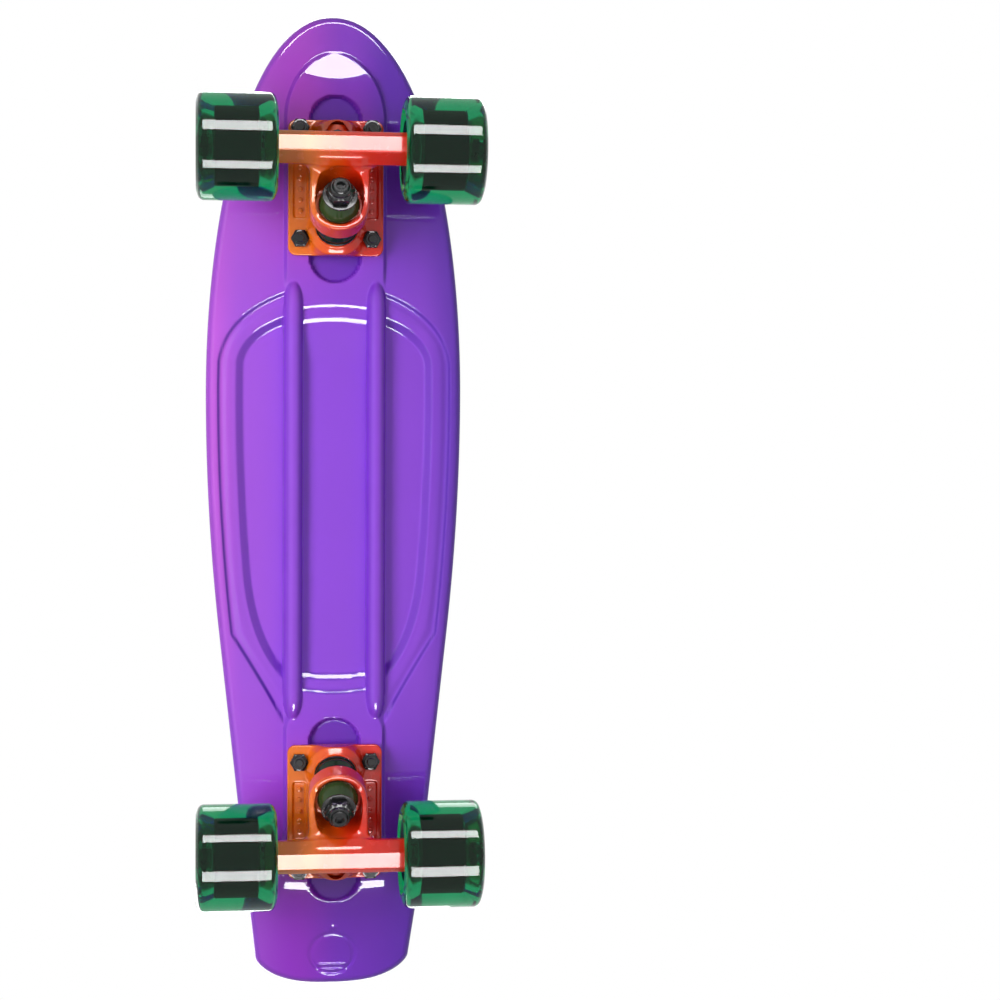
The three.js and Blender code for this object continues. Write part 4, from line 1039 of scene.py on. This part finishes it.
class Nodes:
    """The emptied node tree of a material or world, with short ways to fill it."""

    def __init__(self, owner):
        owner.use_nodes = True
        self.owner = owner
        self.tree = owner.node_tree
        self.tree.nodes.clear()

    def new(self, kind, inputs=None, **settings):
        """A node; each input, by number or name, gets a value or another node's output."""
        node = self.tree.nodes.new(kind)
        for key, value in settings.items():
            setattr(node, key, value)
        for key, value in (inputs or {}).items():
            self.fill(node.inputs[key], value)
        return node

    def fill(self, socket, value):
        if hasattr(value, "links"):
            self.tree.links.new(value, socket)
        else:
            socket.default_value = value

    def coord(self, kind="Object"):
        return self.new("ShaderNodeTexCoord").outputs[kind]

    def axis(self, name, kind="Object"):
        return self.new("ShaderNodeSeparateXYZ", {0: self.coord(kind)}).outputs[name]

    def noise(self, scale, detail, rough=0.5):
        inputs = {"Vector": self.coord(), "Scale": scale, "Detail": detail, "Roughness": rough}
        return self.new("ShaderNodeTexNoise", inputs).outputs["Fac"]

    def math(self, kind, a, b=0.0):
        return self.new("ShaderNodeMath", {0: a, 1: b}, operation=kind).outputs[0]

    def remap(self, value, a, b, c, d, kind="LINEAR"):
        inputs = dict(enumerate((value, a, b, c, d)))
        return self.new("ShaderNodeMapRange", inputs, interpolation_type=kind).outputs[0]

    def ramp(self, value, stops):
        node = self.new("ShaderNodeValToRGB", {0: value})
        ramp = node.color_ramp
        ramp.interpolation = "EASE"
        while len(ramp.elements) < len(stops):
            ramp.elements.new(0.5)
        for element, (at, colour) in zip(ramp.elements, stops):
            element.position = at
            element.color = colour
        return node.outputs[0]

    def mixed(self, a, b, factor, mode="MIX"):
        inputs = {0: factor, 6: a, 7: b}
        return self.new("ShaderNodeMix", inputs, data_type="RGBA", blend_type=mode).outputs[2]

    def shaded(self, base, scale, low, high, grey):
        """A colour made a little darker in soft clouds."""
        cloud = self.ramp(self.noise(*scale), [(low, (grey, grey, grey, 1)), (high, WHITE)])
        return self.mixed(base, cloud, 0.5, "MULTIPLY")


class Skin(Nodes):
    """A material's tree with its main shader."""

    def __init__(self, name):
        super().__init__(bpy.data.materials.new(name))
        self.shader = self.new("ShaderNodeBsdfPrincipled")
        self.new("ShaderNodeOutputMaterial", {0: self.shader.outputs[0]})

    def put(self, **values):
        for key, value in values.items():
            self.fill(self.shader.inputs[key.replace("_", " ")], value)

    def bump(self, height, strength, distance):
        inputs = {"Height": height, "Strength": strength, "Distance": distance}
        self.put(Normal=self.new("ShaderNodeBump", inputs).outputs[0])


def plastic(name, middle, tail, nose, darker_tint, rough, grain, coat, walls=0.4):
    """Moulded plastic whose colour changes across the board, more so at its ends, and whose steep faces are
    mixed towards a darker tint. On the underside the lighter, pinker -Y side is a painted glow of light, and
    the darker +Y side, the darker ends and the darker steep faces are painted shade.
    """
    n = Skin(name)
    # Colour across the board and at the ends: on the underside a painted glow of light towards -Y, and
    # painted shade towards +Y and at the ends.
    across = n.remap(n.axis("Y"), -0.075, 0.075, 0, 1)
    ends = n.mixed(n.ramp(across, tail), n.ramp(across, nose), n.remap(n.axis("X"), -0.02, 0.02, 0, 1))
    share = n.remap(n.math("ABSOLUTE", n.axis("X")), 0.10, 0.21, 0, 1)
    base = n.mixed(n.ramp(across, middle), ends, share)
    # Steep faces are mixed towards the darker tint: painted shade.
    level = n.math("ABSOLUTE", n.axis("Z", "Normal"))
    base = n.mixed(base, darker_tint, n.remap(level, 0.985, 0.80, 0, walls))
    n.put(Base_Color=n.shaded(base, (9, 4), 0.3, 0.7, 0.9), Coat_Weight=coat, Coat_Roughness=0.03)
    n.put(Roughness=n.remap(n.noise(60, 4), 0.3, 0.7, rough - 0.04, rough + 0.05), Specular_IOR_Level=0.02)
    n.bump(n.noise(grain, 5, 0.6), 0.06, 0.0003)
    return n.owner


def metal(name, stops, rough, metallic, coat, specular=0.3):
    """Painted, plated or bare metal, and the soft black of the pivot cup."""
    n = Skin(name)
    base = n.ramp(n.remap(n.axis("Y"), -0.05, 0.05, 0, 1), tints(*stops))
    n.put(Base_Color=n.shaded(base, (45, 5), 0.35, 0.65, 0.8), Metallic=metallic)
    n.put(Coat_Weight=coat, Coat_Roughness=0.05, Specular_IOR_Level=specular)
    n.put(Roughness=n.remap(n.noise(120, 4), 0.3, 0.7, rough - 0.05, rough + 0.07))
    n.bump(n.noise(500, 4, 0.6), 0.1, 0.0003)
    return n.owner


def urethane(name, colour, darker_tint, transmission):
    n = Skin(name)
    base = n.mixed(lin(*colour), lin(*darker_tint), n.remap(n.noise(70, 3), 0.3, 0.7, 0, 0.5))
    n.put(Base_Color=base, Roughness=n.remap(n.noise(160, 3), 0.3, 0.7, 0.03, 0.09), IOR=1.3)
    n.put(Transmission_Weight=transmission)
    n.bump(n.noise(30, 3), 0.05, 0.0005)
    return n.owner


# Underside colours across the board, -Y at 0 and +Y at 1: the lighter, pinker -Y side is a painted glow of
# light, and the darker, bluer +Y side and the darker ends are painted shade.
UNDER_MIDDLE = tints((0.0, 198, 92, 224), (0.16, 164, 84, 226), (0.42, 150, 76, 228), (0.82, 148, 74, 226),
                     (1.0, 108, 54, 192))
UNDER_TAIL = tints((0.1, 178, 86, 226), (0.36, 164, 50, 220), (0.55, 134, 50, 220), (0.9, 104, 40, 198))
UNDER_NOSE = tints((0.1, 178, 84, 208), (0.36, 178, 66, 208), (0.55, 142, 56, 208), (0.72, 106, 46, 190),
                   (0.9, 84, 34, 164))
# Colour of the painted shade on steep faces of the underside and of the slots.
WALL_SHADE_TINT = lin(88, 34, 172)
UNDER = (UNDER_MIDDLE, UNDER_TAIL, UNDER_NOSE, WALL_SHADE_TINT, 0.32, 700, 0.5)
TOP = [tints((0.0, 170, 100, 230), (0.5, 166, 100, 230), (1.0, 158, 94, 226))] * 3
# Darker colours of the two slots: painted shade in their pockets.
SLOT_SHADE = [tints((0.2, 124, 54, 196), (0.8, 100, 46, 188))] * 3
ORANGE = [(0.3, 238, 116, 14), (0.45, 236, 82, 10), (0.58, 230, 44, 12), (0.75, 228, 34, 16)]
STEEL = [(0.0, 186, 186, 190), (1.0, 176, 176, 182)]
BEARING = [(0.0, 150, 152, 156), (1.0, 140, 142, 148)]
OXIDE = [(0.0, 26, 26, 28), (1.0, 22, 22, 24)]
SOFT_BLACK = [(0.0, 30, 30, 32), (1.0, 26, 26, 28)]
DARK_GREEN = [(0.0, 9, 15, 13), (1.0, 6, 11, 9)]
MATS = {
    "deck": plastic("deck_violet", *UNDER),
    # The recess gets stronger painted shade on its steep faces.
    "deck_recess_shade": plastic("deck_violet_recess", *UNDER, walls=0.95),
    # The top's steep faces get a little painted shade too.
    "deck_top": plastic("deck_violet_top", *TOP, lin(120, 62, 200), 0.42, 900, 0.12),
    "deck_slot_shade": plastic("deck_violet_slot", *SLOT_SHADE, WALL_SHADE_TINT, 0.34, 700, 0.4),
    "truck": metal("candy_orange", ORANGE, 0.22, 0.03, 0.5, 0.2),
    "steel": metal("bright_steel", STEEL, 0.25, 1.0, 0.0),
    "bearing": metal("bearing_steel", BEARING, 0.3, 0.9, 0.0),
    "black": metal("black_oxide", OXIDE, 0.26, 0.25, 0.3),
    "bushing_roadside": urethane("green_bushing", (58, 80, 42), (38, 58, 30), 0.1),
    "bushing_boardside": urethane("deep_green_bushing", (16, 44, 28), (8, 28, 18), 0.1),
    "cup": metal("soft_black", SOFT_BLACK, 0.55, 0.0, 0.0),
    "wheel": urethane("clear_emerald", (6, 146, 92), (2, 120, 74), 0.97),
    "core": metal("dark_core", DARK_GREEN, 0.5, 0.0, 0.0, 0.05),
}


def deck_finish(piece):
    """The top's satin skin on faces that look up, and painted shade in the recess and the two slots, stronger
    on the recess's steep faces.
    """
    mesh = piece.data
    for tint in ("deck_top", "deck_slot_shade", "deck_recess_shade"):
        mesh.materials.append(MATS[tint])
    under, top, slot, recess = range(4)
    normal, centre = np.empty(len(mesh.polygons) * 3), np.empty(len(mesh.polygons) * 3)
    mesh.polygons.foreach_get("normal", normal)
    mesh.polygons.foreach_get("center", centre)
    up, (x, y) = normal[2::3], centre.reshape(-1, 3)[:, :2].T / MM
    kind = np.where(up > 0.1, top, under)
    # Faces in the recess, the ribs left out, take the material with stronger painted shade.
    near = (np.abs(x) < 150) & (up < 0)
    inside = sd_polygon(x[near], y[near], FRAME_LINE) < 2
    on_rib = (np.abs(np.abs(y[near]) - RIB_Y) < RIB_R + 2) & (np.abs(x[near]) < 134)
    kind[np.flatnonzero(near)[inside & ~on_rib]] = recess
    # The slots' faces take the darker colours: painted shade in the pockets.
    for sign, at in ((1, FRONT_TRUCK), (-1, REAR_TRUCK)):
        kind[(sd_polygon(x, y, slot_line(sign, at)) < -0.6) & (up < 0)] = slot
    mesh.polygons.foreach_set("material_index", kind.astype(np.int32))


# ---- assembly
moulding = add_piece("deck_moulding", deck_mesh(), "deck", "deck", ["deck"], 50)
deck_finish(moulding)
add_piece("deck_grip_ribs", grip_ribs(), "deck_top", "deck", angle=70)
add_piece("deck_top_trim", top_trim(), "deck_top", "deck", angle=40)
CAST = {
    "hanger": surface(hanger_field, (-36, -45, -58), (34, 45, -10), 0.75),
    "base": surface(base_field, (BASE_INNER - 1.5, -29, -19), (BASE_OUTER + 1.5, 29, 1), 0.6),
}
for truck_end in ("front", "rear"):
    truck_pieces(truck_end)
    axle_piece(truck_end)
    for hand in ("left", "right"):
        wheel_pieces("%s_%s" % (truck_end, hand))
        for place in ("outer", "inner"):
            bolt_piece("%s_%s_%s_bolt" % (truck_end, place, hand))


# ---- floor, world, lights
FLOOR_HALF = 6.0
FLOOR_Z = -0.0002
FADE_RANGE = (0.35, 1.3)


def floor():
    """A floor that only eyes above it see: pale under the board, and white farther out."""
    r, z = FLOOR_HALF, FLOOR_Z
    mesh = bpy.data.meshes.new("floor")
    mesh.from_pydata([(-r, -r, z), (r, -r, z), (r, r, z), (-r, r, z)], [], [(0, 1, 2, 3)])
    piece = linked("floor", mesh)
    n = Nodes(bpy.data.materials.new("pale_floor"))
    distance = n.new("ShaderNodeVectorMath", {0: n.coord()}, operation="LENGTH").outputs["Value"]
    fade = n.remap(distance, *FADE_RANGE, 0, 1, "SMOOTHSTEP")
    pale = n.new("ShaderNodeBsdfDiffuse", {"Color": (0.92, 0.92, 0.92, 1)}).outputs[0]
    white = n.new("ShaderNodeEmission", {"Color": WHITE}).outputs[0]
    ground = n.new("ShaderNodeMixShader", {0: fade, 1: pale, 2: white}).outputs[0]
    path = n.new("ShaderNodeLightPath").outputs
    eye = n.math("MAXIMUM", path["Is Camera Ray"], path["Is Transmission Ray"])
    above = n.math("SUBTRACT", 1.0, n.new("ShaderNodeNewGeometry").outputs["Backfacing"])
    clear = n.new("ShaderNodeBsdfTransparent").outputs[0]
    mix = n.new("ShaderNodeMixShader", {0: n.math("MULTIPLY", eye, above), 1: clear, 2: ground})
    n.new("ShaderNodeOutputMaterial", {0: mix.outputs[0]})
    mesh.materials.append(n.owner)


def white_world(level):
    """A world that looks white to the eye and in reflections, and lights matt faces at a lower level."""
    n = Nodes(bpy.data.worlds.new("studio"))
    bpy.context.scene.world = n.owner
    path = n.new("ShaderNodeLightPath").outputs
    seen = n.math("MAXIMUM", path["Is Camera Ray"], path["Is Glossy Ray"])
    seen = n.math("MAXIMUM", seen, path["Is Transmission Ray"])
    back = n.new("ShaderNodeBackground", {"Color": WHITE, "Strength": n.remap(seen, 0, 1, level, 1)})
    n.new("ShaderNodeOutputWorld", {0: back.outputs[0]})


def softbox(name, at, target, size_x, size_y, power, matte=True, gloss=True, pieces=()):
    """A rectangular lamp with one side along the axles; where pieces are named it lights only them."""
    data = bpy.data.lights.new(name, "AREA")
    data.shape = "RECTANGLE"
    data.size, data.size_y = size_x, size_y
    data.energy = power
    lamp = linked(name, data)
    place, aim = np.array(at, float), np.array(target, float)
    z = (place - aim) / np.linalg.norm(place - aim)
    y = np.array((0, 1.0, 0)) - z * z[1]
    y /= np.linalg.norm(y)
    set_frame(lamp, np.cross(y, z), y, z, place)
    lamp.visible_diffuse = matte
    lamp.visible_glossy = gloss
    lamp.visible_transmission = False
    if pieces:
        lit = bpy.data.collections.new(name + "_lit")
        for piece in pieces:
            lit.objects.link(piece)
        lamp.light_linking.receiver_collection = lit


floor()
white_world(0.26)
made = [piece for piece in bpy.data.objects if piece.type == "MESH" and piece.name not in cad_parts]
shell = [piece for piece in made if piece.name.startswith("deck_")]
tyres = [piece for piece in made if piece.name.endswith(("left_urethane", "right_urethane"))]
castings = [piece for piece in made if piece.name.endswith(("_cast", "_studs"))]
others = [piece for piece in made if piece not in shell + tyres + castings and piece.name != "floor"]
for label, lit, power in (("wheel", tyres, 38), ("casting", castings, 22), ("other", others, 20)):
    softbox("low_front_" + label, (0.75, 0, -0.70), (0.1, 0, 0.06), 0.33, 1.0, power, False, pieces=lit)
    softbox("low_rear_" + label, (-0.60, 0, -0.75), (-0.1, 0, 0.06), 0.33, 1.0, power, False, pieces=lit)
softbox("low_front_deck", (2.80, 0, -1.70), (0.25, 0, 0.09), 0.48, 1.8, 105, False, pieces=shell)
softbox("low_rear_deck", (-0.86, 0.12, -1.20), (-0.228, 0, 0.09), 0.40, 0.62, 33, False, pieces=shell)
softbox("low_left_deck", (0, -0.7, -1.00), (0, 0, 0.08), 1.3, 0.3, 2.5, False, pieces=shell)
softbox("low_key", (0.1, -0.85, -0.85), (0, 0, 0.06), 0.9, 0.5, 13.5, gloss=False)
softbox("low_fill", (0.1, 0.5, -1.0), (0, 0, 0.06), 0.9, 0.5, 2, gloss=False)
softbox("high_front", (0.9, 0.25, 1.3), (0, 0, 0.05), 0.6, 1.2, 14)
softbox("high_rear", (-0.9, -0.35, 1.3), (0, 0, 0.05), 0.6, 1.2, 10)


FOCAL_PX = 2200
IMAGE_PX = 1000
YAW, PITCH, ROLL = -0.13184, -0.03204, -0.00461
EYE = (44.87, -72.90, -1202.02)


def camera():
    """Camera under the board, fitted to the photograph, with the nose up."""
    def turned(v, axis, angle):
        v, axis = np.array(v, float), np.array(axis, float)
        c, s = math.cos(angle), math.sin(angle)
        return v * c + np.cross(axis, v) * s + axis * (axis @ v) * (1 - c)

    up, right, ahead = (1, 0, 0), (0, 1, 0), (0, 0, 1)

    def all_turns(v):
        return turned(turned(turned(v, ahead, ROLL), right, PITCH), up, YAW)

    data = bpy.data.cameras.new("camera")
    data.sensor_width = 36.0
    data.lens = FOCAL_PX * 36 / IMAGE_PX
    data.clip_start, data.clip_end = 0.05, 50
    eye = linked("camera", data)
    set_frame(eye, all_turns(right), all_turns(up), -all_turns(ahead), np.array(EYE) * MM)
    bpy.context.scene.camera = eye


camera()
view = bpy.context.scene.view_settings
view.view_transform = "Standard"
